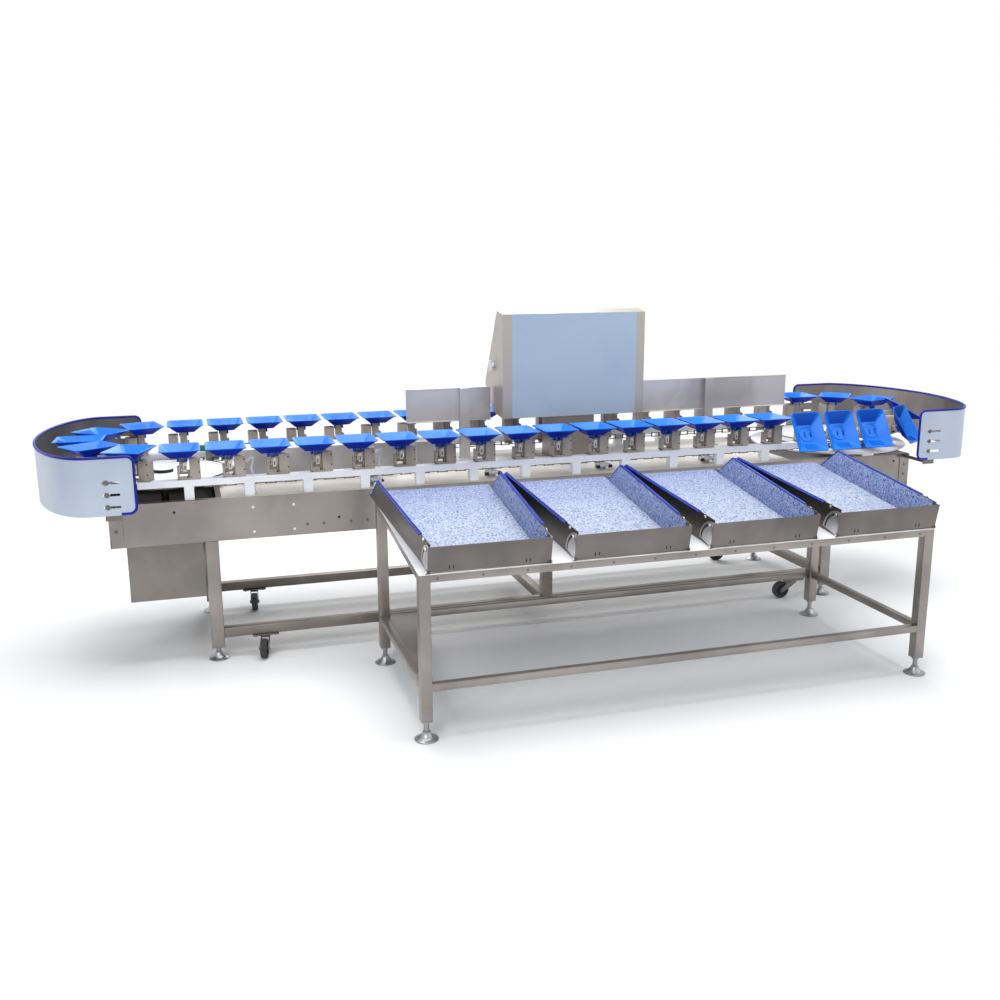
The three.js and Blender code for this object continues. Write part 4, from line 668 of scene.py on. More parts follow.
def tray_place(index):
    return loop_place(FIRST_TRAY + index * PITCH)


def outward(s, n, z):
    """A point by a tray: s along the row, n out from the chain, z up from the floor."""
    return Vector((s, -CHAIN_R - n, z))


def tipping(angle):
    pivot = outward(0, PIVOT_N, PIVOT_Z)
    return moved(pivot) @ spun(angle, "X") @ moved(-pivot)


print("front row from", tray_place(0).translation.x, "to", tray_place(18).translation.x)

# %% [markdown]
# A tray is a moulded blue pan. It starts as its flat floor with rounded corners; the border is
# pulled up and out in steps, which gives the flared walls and the turned rim, and then the
# whole skin gets its thickness. A ring on the floor and fine ribs on both sides of the outer
# wall stop the fruit from rolling, and two prongs below grip the arm.

# %% tray pan
PAN_FLOOR = (72, 86, 1)
PAN_SKIN = 2.0
# each step of the border: size across and along as shares of the floor, and height
PAN_RISE = ((1.05, 1.04, 1.6), (1.88, 1.97, 29.4), (1.96, 2.06, 31.6), (1.99, 2.09, 32.2),
            (2.035, 2.13, 31.6), (2.045, 2.14, 28.6))
FRONT_CORNER, BACK_CORNER = 4.5, 8
WALL_LEAN = math.atan2(40.0, 27.8)
WALL_N, WALL_Z = TRAY_N + 64.3, 828.4
# ribs in and on the outer wall: count, first, spacing, half width, low and high face
RIBS = ((9, -28, 7, 1.0, -0.5, 1.2), (7, -36, 12, 0.9, -3.4, -1.6))


def pan_shape():
    pan = bmesh.new()
    bmesh.ops.create_grid(pan, x_segments=1, y_segments=1, size=0.5)
    bmesh.ops.scale(pan, vec=PAN_FLOOR, verts=pan.verts[:])
    bevel(pan, [v for v in pan.verts if v.co.y < 0], FRONT_CORNER, 5, "VERTICES")
    bevel(pan, [v for v in pan.verts if v.co.y > 0], BACK_CORNER, 5, "VERTICES")
    before = (1.0, 1.0, 0.0)
    for wide, deep, high in PAN_RISE:
        border = [edge for edge in pan.edges if edge.is_boundary]
        verts = made_verts(bmesh.ops.extrude_edge_only(pan, edges=border))
        bmesh.ops.scale(pan, vec=(wide / before[0], deep / before[1], 1), verts=verts)
        bmesh.ops.translate(pan, vec=(0, 0, high - before[2]), verts=verts)
        before = (wide, deep, high)
    bmesh.ops.recalc_face_normals(pan, faces=pan.faces[:])
    bmesh.ops.solidify(pan, geom=pan.faces[:], thickness=PAN_SKIN)
    bmesh.ops.recalc_face_normals(pan, faces=pan.faces[:])
    pan.transform(moved(outward(0, TRAY_N, TRAY_FLOOR)))
    ring = [(31, -0.4), (32, 0.9), (34, 0.9), (35, -0.4), (31, -0.4)]
    stamp(pan, turned(ring, 48, moved(outward(0, TRAY_N, TRAY_FLOOR + 1))))
    for count, first, step, half, low, high in RIBS:
        for rib in range(count):
            wall = moved(outward(first + step * rib, WALL_N, WALL_Z)) @ spun(WALL_LEAN - QUARTER, "X")
            stamp(pan, block((-half, -20, low), (half, 17, high), 0.4), wall)
    blocks(pan, ((-12, 57, 791, -2, 28, 812, 1.5), (17, 57, 791, 27, 28, 812, 1.5)), outward)
    return pan


pan = pan_shape()
print("pan", len(pan.faces), "faces")

# %% [markdown]
# Each pan sits on an arm of two cheeks, a back web and a pale latch plate, with a round hub
# below. The carrier beside it is a plain plate with three dark screws, a base, a column with
# small ledges, a lug and the pin.

# %% arm and carrier
ARM_LEFT, ARM_RIGHT, CHEEK = -4.5, 23.5, 5
ARM_SIDE = ((27.4, 744), (14.6, 744), (14.6, 756), (24.3, 790), (24.3, 811), (55.5, 811), (40, 781))
ARM_WEB = ((20, 752), (15.2, 752), (25, 790), (25, 810), (29, 810), (29, 789))


def arm_shape():
    arm = bmesh.new()
    for inner in (ARM_LEFT, ARM_RIGHT - CHEEK):
        stamp(arm, pushed([outward(inner, n, z) for n, z in ARM_SIDE], (CHEEK, 0, 0), 0.8))
    web = [outward(ARM_LEFT + 3, n, z) for n, z in ARM_WEB]
    stamp(arm, pushed(web, (ARM_RIGHT - ARM_LEFT - 6, 0, 0), 0.4))
    hub = [outward(s, PIVOT_N, PIVOT_Z) for s in (ARM_LEFT, ARM_RIGHT)]
    stamp(arm, rod(*hub, 6.8, 24, 0.6))
    for n, z in ((33, 759), (42, 783)):
        blocks(arm, [(ARM_LEFT + 3, n, z, ARM_RIGHT - 3, n - 14, z + 4, 0.6)], outward)
    return arm


def latch_shape():
    """Pale plate with a slot and a round head, and a bent wire beside it."""
    latch = bmesh.new()
    blocks(latch, ((8.5, 40, 752, 13, 35, 776, 0.8), (18, 40, 752, 22.5, 35, 776, 0.8),
                   (8.5, 40, 749, 22.5, 35, 754, 0.8)), outward)
    stamp(latch, rod(outward(15.5, 40.4, 777), outward(15.5, 34.8, 777), 7.6, 24, 0.8))
    wire = ((-2.5, 34, 751), (-2.5, 39, 770), (-0.5, 40.5, 777), (3.5, 41, 779), (5.5, 40.5, 775),
            (5, 38, 764), (2.5, 35, 755))
    stamp(latch, bead([outward(*point) for point in wire], 1.5))
    return latch


def carrier_shape():
    body = bmesh.new()
    stamp(body, block(outward(32, 49, 720.7), outward(71, -1, 800), 2.0, 3))
    blocks(body, ((-13, 47, 720.7, 33, 8, 727, 1.0), (34, 9, 684.3, 71, -1, 724, 1.0),
                  (-13, 47, 720.7, -5.2, 10, 770, 1.4), (-14, 50, 731, -5.4, 40, 734.4, 0.8),
                  (-15, 49.4, 745, -5.4, 40, 748.4, 0.8), (-14, 49, 757, -5.4, 40, 760.4, 0.8),
                  (24, 32, 720.7, 31.6, 10, 752, 1.4), (-5, 48.4, 722.5, 30, 46, 728.5, 0.8),
                  (6, 47.6, 726, 13, 38, 729.4, 0.8)), outward)
    return body


def screws_shape():
    dark = bmesh.new()
    for s, z, big in ((66, 786, 3.0), (66, 747, 3.0), (37.5, 729, 2.2)):
        stamp(dark, rod(outward(s, 48, z), outward(s, 49.7, z), big, 16, 0.4))
    stamp(dark, rod(outward(-12.8, PIVOT_N, PIVOT_Z), outward(32.8, PIVOT_N, PIVOT_Z), 2.9, 16))
    blocks(dark, [(21, 48.6, 727.4, 26, 44, 733, 0.6)], outward)
    return dark


arm, latch, carrier, screws = arm_shape(), latch_shape(), carrier_shape(), screws_shape()
print("arm", len(arm.faces), "carrier", len(carrier.faces), "faces")

# %% [markdown]
# Now the forms are stamped round the loop. Trays with a joint of their own are pieces of their
# own; all the others are gathered in one piece for each stretch of the train.

# %% stamping the train
OUTLET = {6: 1, 9: 2, 12: 3, 15: 4}
TIPPED = {16: 1, 17: 2, 18: 3, 19: 4}
HALF_TIPPED = 20
TIP, HALF_TIP = 59 * DEG, 30 * DEG
STRETCHES = {"front": range(0, 23), "rear": range(23, 47)}
# form, its name alone and in a stretch, finish, slot
TRAY_FORMS = ((pan, "pan", "pans", blue, "blue_plastic"), (arm, "arm", "arms", cream, "cream_plastic"),
              (latch, "latch", "latches", cream_light, "cream_plastic"))

for stretch, indices in STRETCHES.items():
    upright = [tray_place(index) for index in indices]
    leaning = [tray_place(index) @ tipping(HALF_TIP if index == HALF_TIPPED else 0)
               for index in indices if index not in OUTLET and index not in TIPPED]
    rows = [(carrier, "carriers", cream, "cream_plastic", upright)]
    rows += [(form, label, finish, slot, leaning) for form, _, label, finish, slot in TRAY_FORMS]
    rows += [(screws, "carrier_screws", black, "dark_paint", upright)]
    for form, label, finish, slot, places in rows:
        row = bmesh.new()
        for place in places:
            stamp(row, form, place, True)
        finished(row, f"{label}_{stretch}", finish,
                 hides=[f"tray_train_{stretch}"] if form is carrier else ())

for group, label, angle in ((OUTLET, "outlet_tray", 0), (TIPPED, "tipped_tray", TIP)):
    for index, number in group.items():
        body = f"{label}_{number}"
        for form, part, _, finish, slot in TRAY_FORMS:
            copy = bmesh.new()
            stamp(copy, form, tray_place(index) @ tipping(angle), True)
            finished(copy, f"{body}_{part}", finish, body, [body] if form is pan else ())

# %% [markdown]
# The carriers hang on a roller chain. Every link is a pair of small plates with a roller
# between; a link has few faces because there are about two hundred of them. The wheels and
# the round plate under the far end are turned from profiles of radius and height.

# %% chain and wheels
LINK, LINK_PLATE, CHAIN_Z = 38.0, 2.5, 688
LINK_OUTLINE = ((-20, -3), (-16, -5), (16, -5), (20, -3), (20, 3), (16, 5), (-16, 5), (-20, 3))


def link_shape(tall):
    link = bmesh.new()
    for z in (CHAIN_Z - tall, CHAIN_Z + tall - LINK_PLATE):
        stamp(link, pushed([(x, y - CHAIN_R, z) for x, y in LINK_OUTLINE], (0, 0, LINK_PLATE)))
    stamp(link, rod((-LINK / 2, -CHAIN_R, CHAIN_Z - 10.5), (-LINK / 2, -CHAIN_R, CHAIN_Z + 10.5), 3.6, 8))
    return link


links = link_shape(9.5), link_shape(6.5)
loop_length = 2 * RUN + 2 * math.pi * CHAIN_R
link_count = 2 * round(loop_length / LINK / 2)
chain = bmesh.new()
for number in range(link_count):
    stamp(chain, links[number % 2], loop_place((number + 0.5) * loop_length / link_count), True)
finished(chain, "roller_chain", dark_steel)

WHEEL_DISC = ((0, 684), (253.8, 684), (253.8, 677.4), (256, 677.8), (256, 698.2), (254, 699), (238, 699),
              (235, 695), (60, 694), (56, 697), (40, 697), (0, 697))
CAP_LAYERS = ((0, 696), (39, 696), (39, 699.4), (36.5, 699.8), (36.5, 700.6), (39, 701), (39, 704.4),
              (36.5, 704.8), (36.5, 705.6), (39, 706), (39, 709), (37, 709.4), (0, 709.4))
# Painted shade: a thin black ring at the white disc's outer edge stands for the shade along the rim.
SHADE_RIM = ((250.5, 696), (256.2, 696), (256.2, 699.6), (250.5, 699.6), (250.5, 696))
CAP_TOP = ((0, 709.3), (38.2, 709.3), (38.6, 711), (37.6, 711.9), (9, 711.9), (0, 711.9))
for name, x, shaft in (("drive_wheel", LOOP_X, 511), ("idler_wheel", LOOP_X + RUN, 656.2)):
    for part, profile, steps, finish, slot in (
            ("disc", WHEEL_DISC, 96, white, "white_plastic"), ("cap", CAP_LAYERS, 64, black, "dark_paint"),
            ("rim", SHADE_RIM, 96, black, "dark_paint"), ("cap_top", CAP_TOP, 64, white, "white_plastic")):
        finished(turned(profile, steps, moved((x, LOOP_Y, 0))), f"{name}_{part}", finish, name,
                 [name] if part == "disc" else ())
    finished(rod((x, LOOP_Y, shaft), (x, LOOP_Y, 690), 14.8, 32, 0.8), f"{name}_shaft", dark_steel, name)

END_PLATE = ((17, 656.2), (354, 656.2), (355.6, 657.2), (355.6, 662.8), (354, 663.8), (17, 663.8),
             (17, 656.2))
END_HUB = ((16.8, 662), (60, 662), (60, 664.6), (46, 668), (44, 676), (16.8, 676), (16.8, 662))
disc = gathered(turned(END_PLATE, 96), turned(END_HUB, 48))
blocks(disc, ((-29.6, -328.6, 642.4, 29.6, -18, 657, 0.8), (-29.6, 18, 642.4, 29.6, 328.6, 657, 0.8)))
disc.transform(moved((LOOP_X + RUN, LOOP_Y, 0)))
finished(disc, "end_disc_plate", white, hides=["end_disc"])

# %% [markdown]
# The guards are curved sheets round both ends. In plan each is a squared half round, drawn from
# one formula. The sheet is a strip pulled up from its lower edge, thickened, and cut by three
# slots near each free end; a navy bead covers the top and the ends, and brackets carry it.

# %% guards
GUARD_LOW, GUARD_HALF, GUARD_SHEET, GUARD_CORNER = 645, 504, 1.8, 24
SLOT_STEP, BOLT_IN_SLOT = 44, 13
TRIM_R = 4.9
# washer, hexagon head and shank: from, to, radius, sides, softness
GUARD_BOLT = ((-1, 1.4, 9.5, 24, 0.5), (0, 4.4, 6.5, 6, 0.6), (-12, 1, 3.2, 16, 0))


def guard_line(x, reach, flank, side, square, count=72):
    points = [(x - side * flank, LOOP_Y - GUARD_HALF)]
    for i in range(count + 1):
        a = math.pi * (i / count - 0.5)
        sway = math.copysign(abs(math.sin(a)) ** (2 / square), math.sin(a))
        points.append((x + side * reach * max(0, math.cos(a)) ** (2 / square), LOOP_Y + GUARD_HALF * sway))
    return points + [(x - side * flank, LOOP_Y + GUARD_HALF)]


def slot_cutter(x0, x1, y, z, half=4.5):
    ends = [rod((x, y - 45, z), (x, y + 45, z), half, 20) for x in (x0 + half, x1 - half)]
    return gathered(*ends, block((x0 + half, y - 44, z - half), (x1 - half, y + 44, z + half), 0))


def corner_cutter(end, side, y, z, way):
    """What is left of a square corner outside its rounding."""
    radius = GUARD_CORNER
    outline = [(end - side * 2, z - way * 2), (end + side * radius, z - way * 2), (end + side * radius, z)]
    for step in range(1, 9):
        a = step * math.pi / 16
        outline.append((end + side * radius * (1 - math.sin(a)), z + way * radius * (1 - math.cos(a))))
    outline.append((end - side * 2, z + way * radius))
    return pushed([(px, y - 8, pz) for px, pz in outline], (0, 16, 0))


def guard_sheet(name, inside, line, end, side, top_z, slot_from, slot_to, slot_low):
    sheet, bolts, cutters = bmesh.new(), bmesh.new(), []
    verts = [sheet.verts.new((*point, GUARD_LOW)) for point in line]
    edges = [sheet.edges.new(pair) for pair in zip(verts, verts[1:])]
    top = made_verts(bmesh.ops.extrude_edge_only(sheet, edges=edges))
    bmesh.ops.translate(sheet, vec=(0, 0, top_z - GUARD_LOW), verts=top)
    bmesh.ops.solidify(sheet, geom=sheet.faces[:], thickness=GUARD_SHEET)
    bmesh.ops.recalc_face_normals(sheet, faces=sheet.faces[:])
    low, high = sorted((end + side * slot_from, end + side * slot_to))
    for row in (-1, 1):
        face = LOOP_Y + row * (GUARD_HALF + 0.5)
        for z in (slot_low, slot_low + SLOT_STEP, slot_low + 2 * SLOT_STEP):
            cutters.append(slot_cutter(low, high, LOOP_Y + row * (GUARD_HALF - 8), z))
            for first, last, *form in GUARD_BOLT:
                stamp(bolts, rod((low + BOLT_IN_SLOT, face + row * first, z),
                                 (low + BOLT_IN_SLOT, face + row * last, z), *form))
        for z, way in ((top_z, -1), (GUARD_LOW, 1)):
            cutters.append(corner_cutter(end, side, LOOP_Y + row * GUARD_HALF, z, way))
    piece = finished(cut_away(sheet, cutters), f"{name}_film_sheet", guard_film,
                     hides=[name], crease=30)
    piece.data.materials.append(inside)
    heart = spot(end, LOOP_Y, 0)
    for polygon in piece.data.polygons:
        inward = (heart - polygon.center) * Vector((1, 1, 0))
        polygon.material_index = 1 if polygon.normal.dot(inward) > 0 else 0
    finished(bolts, f"{name}_bolts", dark_steel)


def guard_trim(name, line, end, side, top_z):
    start, low, radius = end - side * 5, GUARD_LOW + TRIM_R, GUARD_CORNER
    near, upper = [(start + side * (radius + 28), low)], []
    for a in (step * math.pi / 12 for step in range(7)):
        near.append((start + side * radius * (1 - math.sin(a)), low + radius * (1 - math.cos(a))))
        upper.append((start + side * radius * (1 - math.cos(a)), top_z - radius * (1 - math.sin(a))))
    near += upper
    rim = [(px, LOOP_Y - GUARD_HALF, pz) for px, pz in near]
    rim += [(px, py, top_z) for px, py in line[1:-1]]
    rim += [(px, LOOP_Y + GUARD_HALF, pz) for px, pz in reversed(near)]
    finished(bead(rim, TRIM_R), f"{name}_edge_trim", navy)


def guard_brackets(name, x):
    brackets = bmesh.new()
    for row, frame_y in ((-1, -3.4), (1, 661.4)):
        tip, pad_y = LOOP_Y + row * 503, frame_y + row * 4
        for y0, y1, half, high, soft in ((frame_y, tip, 2, 640, 0.6), (frame_y, pad_y, 28, 640, 0.8),
                                         (tip - row * 0.4, tip - row * 4, 28, 665, 0.8)):
            blocks(brackets, [(x - half, min(y0, y1), 626, x + half, max(y0, y1), high, soft)])
        y0, y1 = sorted((pad_y, frame_y + row * 7))
        for dx in (-18, 18):
            stamp(brackets, rod((x + dx, y0, 633), (x + dx, y1, 633), 5.5, 6, 0.6))
    finished(brackets, f"{name}_brackets", dark_steel)


def guard(name, inside, bar_x, x, reach, flank, side, square, top_z, slots):
    line, end = guard_line(x, reach, flank, side, square), x - side * flank
    guard_sheet(name, inside, line, end, side, top_z, *slots)
    guard_trim(name, line, end, side, top_z)
    guard_brackets(name, bar_x)


guard("guard_left", shaded_steel, 29, x=-50, reach=211, flank=153, side=-1, square=1.9, top_z=854,
      slots=(46, 104, 676))
guard("guard_right", steel, 3437, x=3559, reach=236, flank=179, side=1, square=1.8, top_z=864,
      slots=(37, 107, 684))

# %% [markdown]
# Both frames stand on square tube with softened corners. The levelling feet are polished bells
# on threaded stems, each with a lock nut under the leg.

# %% stand and bench frames
FRAME_LOW = 478.6
ROWS_Y, LEGS_X, CASTERS_X = (2, 606), (334, 3039), (541, 2904)
BENCH_X, BENCH_END, BENCH_FRONT, BENCH_BACK = 953, 2867, -937, -197
BENCH_SLOPE, BENCH_TUBE, BENCH_RAIL = 0.105, 38, 25


def bench_z(y):
    return 560 + BENCH_SLOPE * (y - BENCH_FRONT)


stand, low_rails = bmesh.new(), bmesh.new()
for y in ROWS_Y:
    blocks(stand, [(x, y, 48, x + 50, y + 50, FRAME_LOW, 3.0, 3) for x in LEGS_X])
    blocks(stand, [(1692, y + 3, 124, 1736, y + 47, FRAME_LOW, 2.5, 3)])
    blocks(low_rails, [(382, y + 6, 87, 3041, y + 44, 125, 2.5, 3)])
    for x in CASTERS_X:
        blocks(low_rails, [(x - 50, y - 6, 83.2, x + 50, y + 56, 87.2, 0.8)])
        for dx, dy in ((-38, 5), (-38, 45), (38, 5), (38, 45)):
            stamp(low_rails, rod((x + dx, y + dy, 79.5), (x + dx, y + dy, 84), 6, 6, 0.5))
blocks(low_rails, [(x, 50, 87.2, x + 38, 608, 124.8, 2.5, 3) for x in (340, 1695, 3045)])
finished(stand, "stand_legs", steel_upright, hides=["stand"])
finished(low_rails, "stand_low_rails", tube_steel)

bench = bmesh.new()
front, back = BENCH_FRONT + 1, BENCH_BACK - 1
for x in (BENCH_X, BENCH_END - BENCH_TUBE):
    for y in (BENCH_FRONT, BENCH_BACK - BENCH_TUBE):
        far = y + BENCH_TUBE
        leg = ((y, 64), (far, 64), (far, bench_z(far) - 0.6), (y, bench_z(y) - 0.6))
        stamp(bench, pushed(across(x, leg), (BENCH_TUBE, 0, 0), 2.2, 3))
rail = ((front, bench_z(BENCH_FRONT) - 25), (back, bench_z(BENCH_BACK) - 25), (back, bench_z(back)),
        (front, bench_z(front)))
for x in (BENCH_X + 1, BENCH_END - 26):
    stamp(bench, pushed(across(x, rail), (BENCH_RAIL, 0, 0), 1.5))
    blocks(bench, [(x, BENCH_FRONT + 13, 169, x + BENCH_RAIL, BENCH_BACK - 13, 195, 1.5)])
for y in (front, BENCH_BACK - 26):
    for low, high in ((bench_z(y) - 25, bench_z(y) + 0.2), (169, 195)):
        blocks(bench, [(BENCH_X + 13, y, low, BENCH_END - 13, y + BENCH_RAIL, high, 1.5)])
ledge = [(BENCH_X + x, y, 190.4) for x, y in ((14, BENCH_FRONT + 14), (42, BENCH_FRONT + 14),
                                              (146, BENCH_BACK - 14), (14, BENCH_BACK - 14))]
stamp(bench, pushed(ledge, (0, 0, 3.4), 0.6))
finished(bench, "bench_tubes", steel, hides=["bench_frame"])

BELL = ((0, 0), (38, 0), (39.8, 1.2), (39.8, 3.6), (38.5, 4.6), (33, 6), (27, 9.4), (21.5, 14), (16.5, 20),
        (13.6, 25), (12.6, 28.5), (9.5, 30), (0, 30))
FEET = [(x, y, 48) for y in (27, 631) for x in (359, 3064)]
FEET += [(x, y, 64) for y in (-918, -216) for x in (972, 2848)]
feet = bmesh.new()
for x, y, top_z in FEET:
    stamp(feet, turned(BELL, 40, moved((x, y, 0))))
    ridges = [(30 + 3 * ridge, 31.4 + 3 * ridge, 8.7, 20) for ridge in range(int((top_z - 38) / 3))]
    for low, high, *form in [(26, top_z + 0.5, 8, 24), (top_z - 8, top_z, 13, 6, 0.8)] + ridges:
        stamp(feet, rod((x, y, low), (x, y, high), *form))
finished(feet, "levelling_feet", chrome)

# %% [markdown]
# The four casters swivel on a plate under the low rails and only touch the floor when the feet
# are screwed up. Tyre, rim, fork and axle are separate forms.

# %% casters
CASTER_TURNS = (-12, -4, -90, -133)
TRAIL, AXLE_Z = 52, 39
SWIVEL = ((0, 82.6), (20, 82.6), (21, 81), (21, 78), (17, 75.6), (0, 75.6))
FORK_SIDE = ((19.6, 75.4), (19.6, 72), (4, 62), (-40, 32), (-46, 29), (-58, 29), (-62, 34), (-62, 45),
             (-20, 75.4))
TYRE = ((29, -12.4), (34.6, -13), (37.2, -10.5), (38, -5), (38, 5), (37.2, 10.5), (34.6, 13), (29, 12.4),
        (29, -12.4))
RIM = ((4.6, -12), (10, -12), (11, -7), (23, -7), (26, -11.5), (29.5, -11.5), (29.5, 11.5), (26, 11.5),
       (23, 7), (11, 7), (10, 12), (4.6, 12), (4.6, -12))


def axle(x0, x1, *form):
    return rod((x0, -TRAIL, AXLE_Z), (x1, -TRAIL, AXLE_Z), *form)


caster_spots = [(x, y) for x in CASTERS_X for y in (27, 631)]
for number, ((x, y), angle) in enumerate(zip(caster_spots, CASTER_TURNS), 1):
    place = moved((x, y, 0)) @ spun(angle * DEG, "Z")
    sides = [pushed(across(x0, FORK_SIDE), (3, 0, 0), 0.6) for x0 in (-17, 14)]
    fork = gathered(turned(SWIVEL, 32), block((-17, -20, 72.6), (17, 20, 76.4), 1.2), *sides,
                    axle(-18, 18, 3.9, 20), axle(-21, -17, 6.5, 6, 0.6), axle(17, 21, 6.5, 6, 0.6))
    fork.transform(place)
    body, wheel = f"caster_fork_{number}", f"caster_wheel_{number}"
    finished(fork, f"{body}_sheet", dark_steel, body, hides=[body])
    hub = place @ moved((0, -TRAIL, AXLE_Z)) @ spun(QUARTER, "Y")
    finished(turned(TYRE, 48, hub), f"{wheel}_tyre", grey_rubber, wheel, [wheel])
    finished(turned(RIM, 40, hub), f"{wheel}_rim", black, wheel)

# %% [markdown]
# A chute is a shallow tapering trough of thin steel. Its solid stays and gets a darkened steel
# finish, painted shade for the gaps between chutes; the felt lies on its floor and inside its
# walls, and a blue bead and a hem cover the edges.

# %% chutes
SLOPE_ANGLE = math.atan(BENCH_SLOPE)
CHUTE_LENGTH = 782 / math.cos(SLOPE_ANGLE)
CHUTE_LIP, CHUTE_PEAK, TRIM_END = 45, 122, 694
CHUTE_WIDE, CHUTE_TAPER = 482, 86
CHUTE_CENTRES = [BENCH_X + 234 + 492 * number for number in range(4)]
FELT = 2.2
LIP = Vector((0, -148, bench_z(-148) + 2.2))
on_bench = spun(SLOPE_ANGLE, "X")


def chute_half(u):
    return (CHUTE_WIDE - CHUTE_TAPER * u / CHUTE_LENGTH) / 2


def on_slope(x, u, v):
    """A point of a chute: x across, u down the slope from its back lip, v up from its floor."""
    return on_bench @ Vector((x, -u, v)) + LIP


def floor_lining(centre):
    up = (on_slope(0, 0, 1) - on_slope(0, 0, 0)) * FELT
    felt = bmesh.new()
    for first, last, tapers in ((3, CHUTE_LENGTH - 12, 1), (3 - CHUTE_LIP, 3.5, 0)):
        corners = ((-1, first), (1, first), (1, last), (-1, last))
        points = [on_slope(centre + side * (chute_half(u * tapers) - 4.4), u, FELT) for side, u in corners]
        stamp(felt, pushed(points, up, 0.5))
    return felt


def wall_lining(centre):
    last = CHUTE_LENGTH - 14
    felt = bmesh.new()
    for side in (-1, 1):
        outline = ((8, 4.6), (last, 4.6), (last, 97), (CHUTE_PEAK + 2, 97))
        points = [on_slope(centre + side * (chute_half(u) - 2.2), u, v) for u, v in outline]
        stamp(felt, pushed(points, (-side * FELT, 0, 0), 0.5))
    return felt


# beads at the wall's edge and at the hem's edge: distance from the wall, and the line
EDGE_BEADS = ((-0.8, ((4, 4), (CHUTE_PEAK - 4, 98), (CHUTE_PEAK, 100), (CHUTE_PEAK + 4, 100.4),
                      (TRIM_END, 100.4))),
              (6.6, ((CHUTE_PEAK + 2, 98.6), (TRIM_END, 98.6))))
HEM = ((CHUTE_PEAK + 2, 0), (TRIM_END, 0), (TRIM_END, 7), (CHUTE_PEAK + 2, 7))
for number, centre in enumerate(CHUTE_CENTRES, 1):
    name = f"chute_{number}"
    softened(name, chute_steel_with_shade, 0.3)
    finished(floor_lining(centre), f"{name}_floor_felt", felt_floor)
    finished(wall_lining(centre), f"{name}_wall_felt", felt_wall)
    trim, hem = bmesh.new(), bmesh.new()
    for side in (-1, 1):
        for away, outline in EDGE_BEADS:
            line = [on_slope(centre + side * (chute_half(u) + away), u, v) for u, v in outline]
            stamp(trim, bead(line, 2.8))
        strip = [on_slope(centre + side * (chute_half(u) + away), u, 98.4) for u, away in HEM]
        stamp(hem, pushed(strip, (0, 0, -1.4)))
    finished(trim, f"{name}_edge_trim", royal)
    finished(hem, f"{name}_hem", dark_steel)

# %% [markdown]
# Each chute ends in a folding gate. Two ears carry it on pins at the floor, and a bolt in a
# quarter-round slot holds it at any angle. Sheet and ears are cut from plate; thin black shapes
# behind the slots and marks are painted shade, so they show as dark gaps.

# %% gates
PIN_UP, GATE_LEAN = 6, 5.5 * DEG
EAR_R, EAR, SLOT_R, SLOT_HALF = 86, 1.8, 74, 4.5
# bolts by the pin line: along the slope, up, radius, distance from the chute's wall
GATE_BOLTS = ((0, 0, 4.6, 6.9), (12.8, 72.9, 6.2, 6.9), (56, 89, 5.6, 3.1))


def arc(radius, first, last, steps=24):
    """Points of an arc between two angles in degrees."""
    angles = [(first + (last - first) * i / steps) * DEG for i in range(steps + 1)]
    return [(radius * math.cos(a), radius * math.sin(a)) for a in angles]


def band(wide, first, last):
    """A curved band on both sides of the slot's radius."""
    return arc(SLOT_R + wide, first, last) + arc(SLOT_R - wide, last, first)


def gate_parts():
    """The folded sheet, the two ears, and thin black shapes of painted shade behind their slots and marks.
    """
    half = chute_half(CHUTE_LENGTH - EAR_R) + 0.5
    edge = half + 2.3
    sheet = gathered(block((-edge, -3, 0.2), (edge, -1.1, 88), 0.6),
                     block((-193, -3, -1.9), (193, -1.1, 2), 0.5))
    ears, dark, marks, slots = bmesh.new(), bmesh.new(), [], []
    ear = [(-2, -1.9)] + arc(EAR_R, -1, 90) + [(-2, EAR_R)]
    for side, outer, inner in ((-1, -half - EAR, -half + 0.2), (1, half, half - 0.7)):
        stamp(ears, pushed(across(outer, ear), (EAR, 0, 0), 0.3))
        slots.append(pushed(across(outer - 2, band(SLOT_HALF, 0.5, 78.5)), (6, 0, 0)))
        stamp(dark, pushed(across(inner, band(7, 2, 80)), (0.5, 0, 0)))
        notch = side * (chute_half(CHUTE_LENGTH) + 1)
        for cutters in (marks, slots):
            cutters.append(rod((notch - 5, 0, 0), (notch + 5, 0, 0), 6.5, 24))
    for x in (-0.62 * edge, 0.62 * edge):
        for dx in (-7, 7):
            marks.append(block((x + dx - 2, -6, 7), (x + dx + 2, 2, 19), 0))
            blocks(dark, [(x + dx - 3.4, -1.2, 5.6, x + dx + 3.4, -0.7, 20.4, 0)])
    return cut_away(sheet, marks), cut_away(ears, slots), dark


for number, centre in enumerate(CHUTE_CENTRES, 1):
    pin_line = moved(on_slope(centre, CHUTE_LENGTH, PIN_UP)) @ on_bench
    body = f"gate_{number}"
    # the dark part is painted shade behind the slots and marks
    looks = (("sheet", gate_steel), ("ears", bright_steel), ("dark", black))
    for shape, (part, finish) in zip(gate_parts(), looks):
        shape.transform(pin_line @ spun(GATE_LEAN, "X"))
        finished(shape, f"{body}_{part}", finish, body,
                 [body] if part == "sheet" else ())
    # Bright bolts sit on real washers, whose dark tone is also painted shade round each head.
    bolts, washers = bmesh.new(), bmesh.new()
    for side in (-1, 1):
        for u, v, big, face in GATE_BOLTS:
            x = side * (chute_half(CHUTE_LENGTH) + face)
            heads = [pin_line @ Vector((x + side * away, u, v)) for away in (0, 1.2, 6.5)]
            stamp(washers, rod(heads[0], heads[1], big + 2.6, 20, 0.2))
            stamp(bolts, rod(heads[1], heads[2], big, 6, 1.4))
    finished(bolts, f"{body}_bolts", chrome_light)
    finished(washers, f"{body}_washers", dark_steel)

# %% [markdown]
# The cabinet stands between the two rows of trays. Its front is one plain sheet under film; the
# operator's side slopes and is a door with a screen and push buttons.

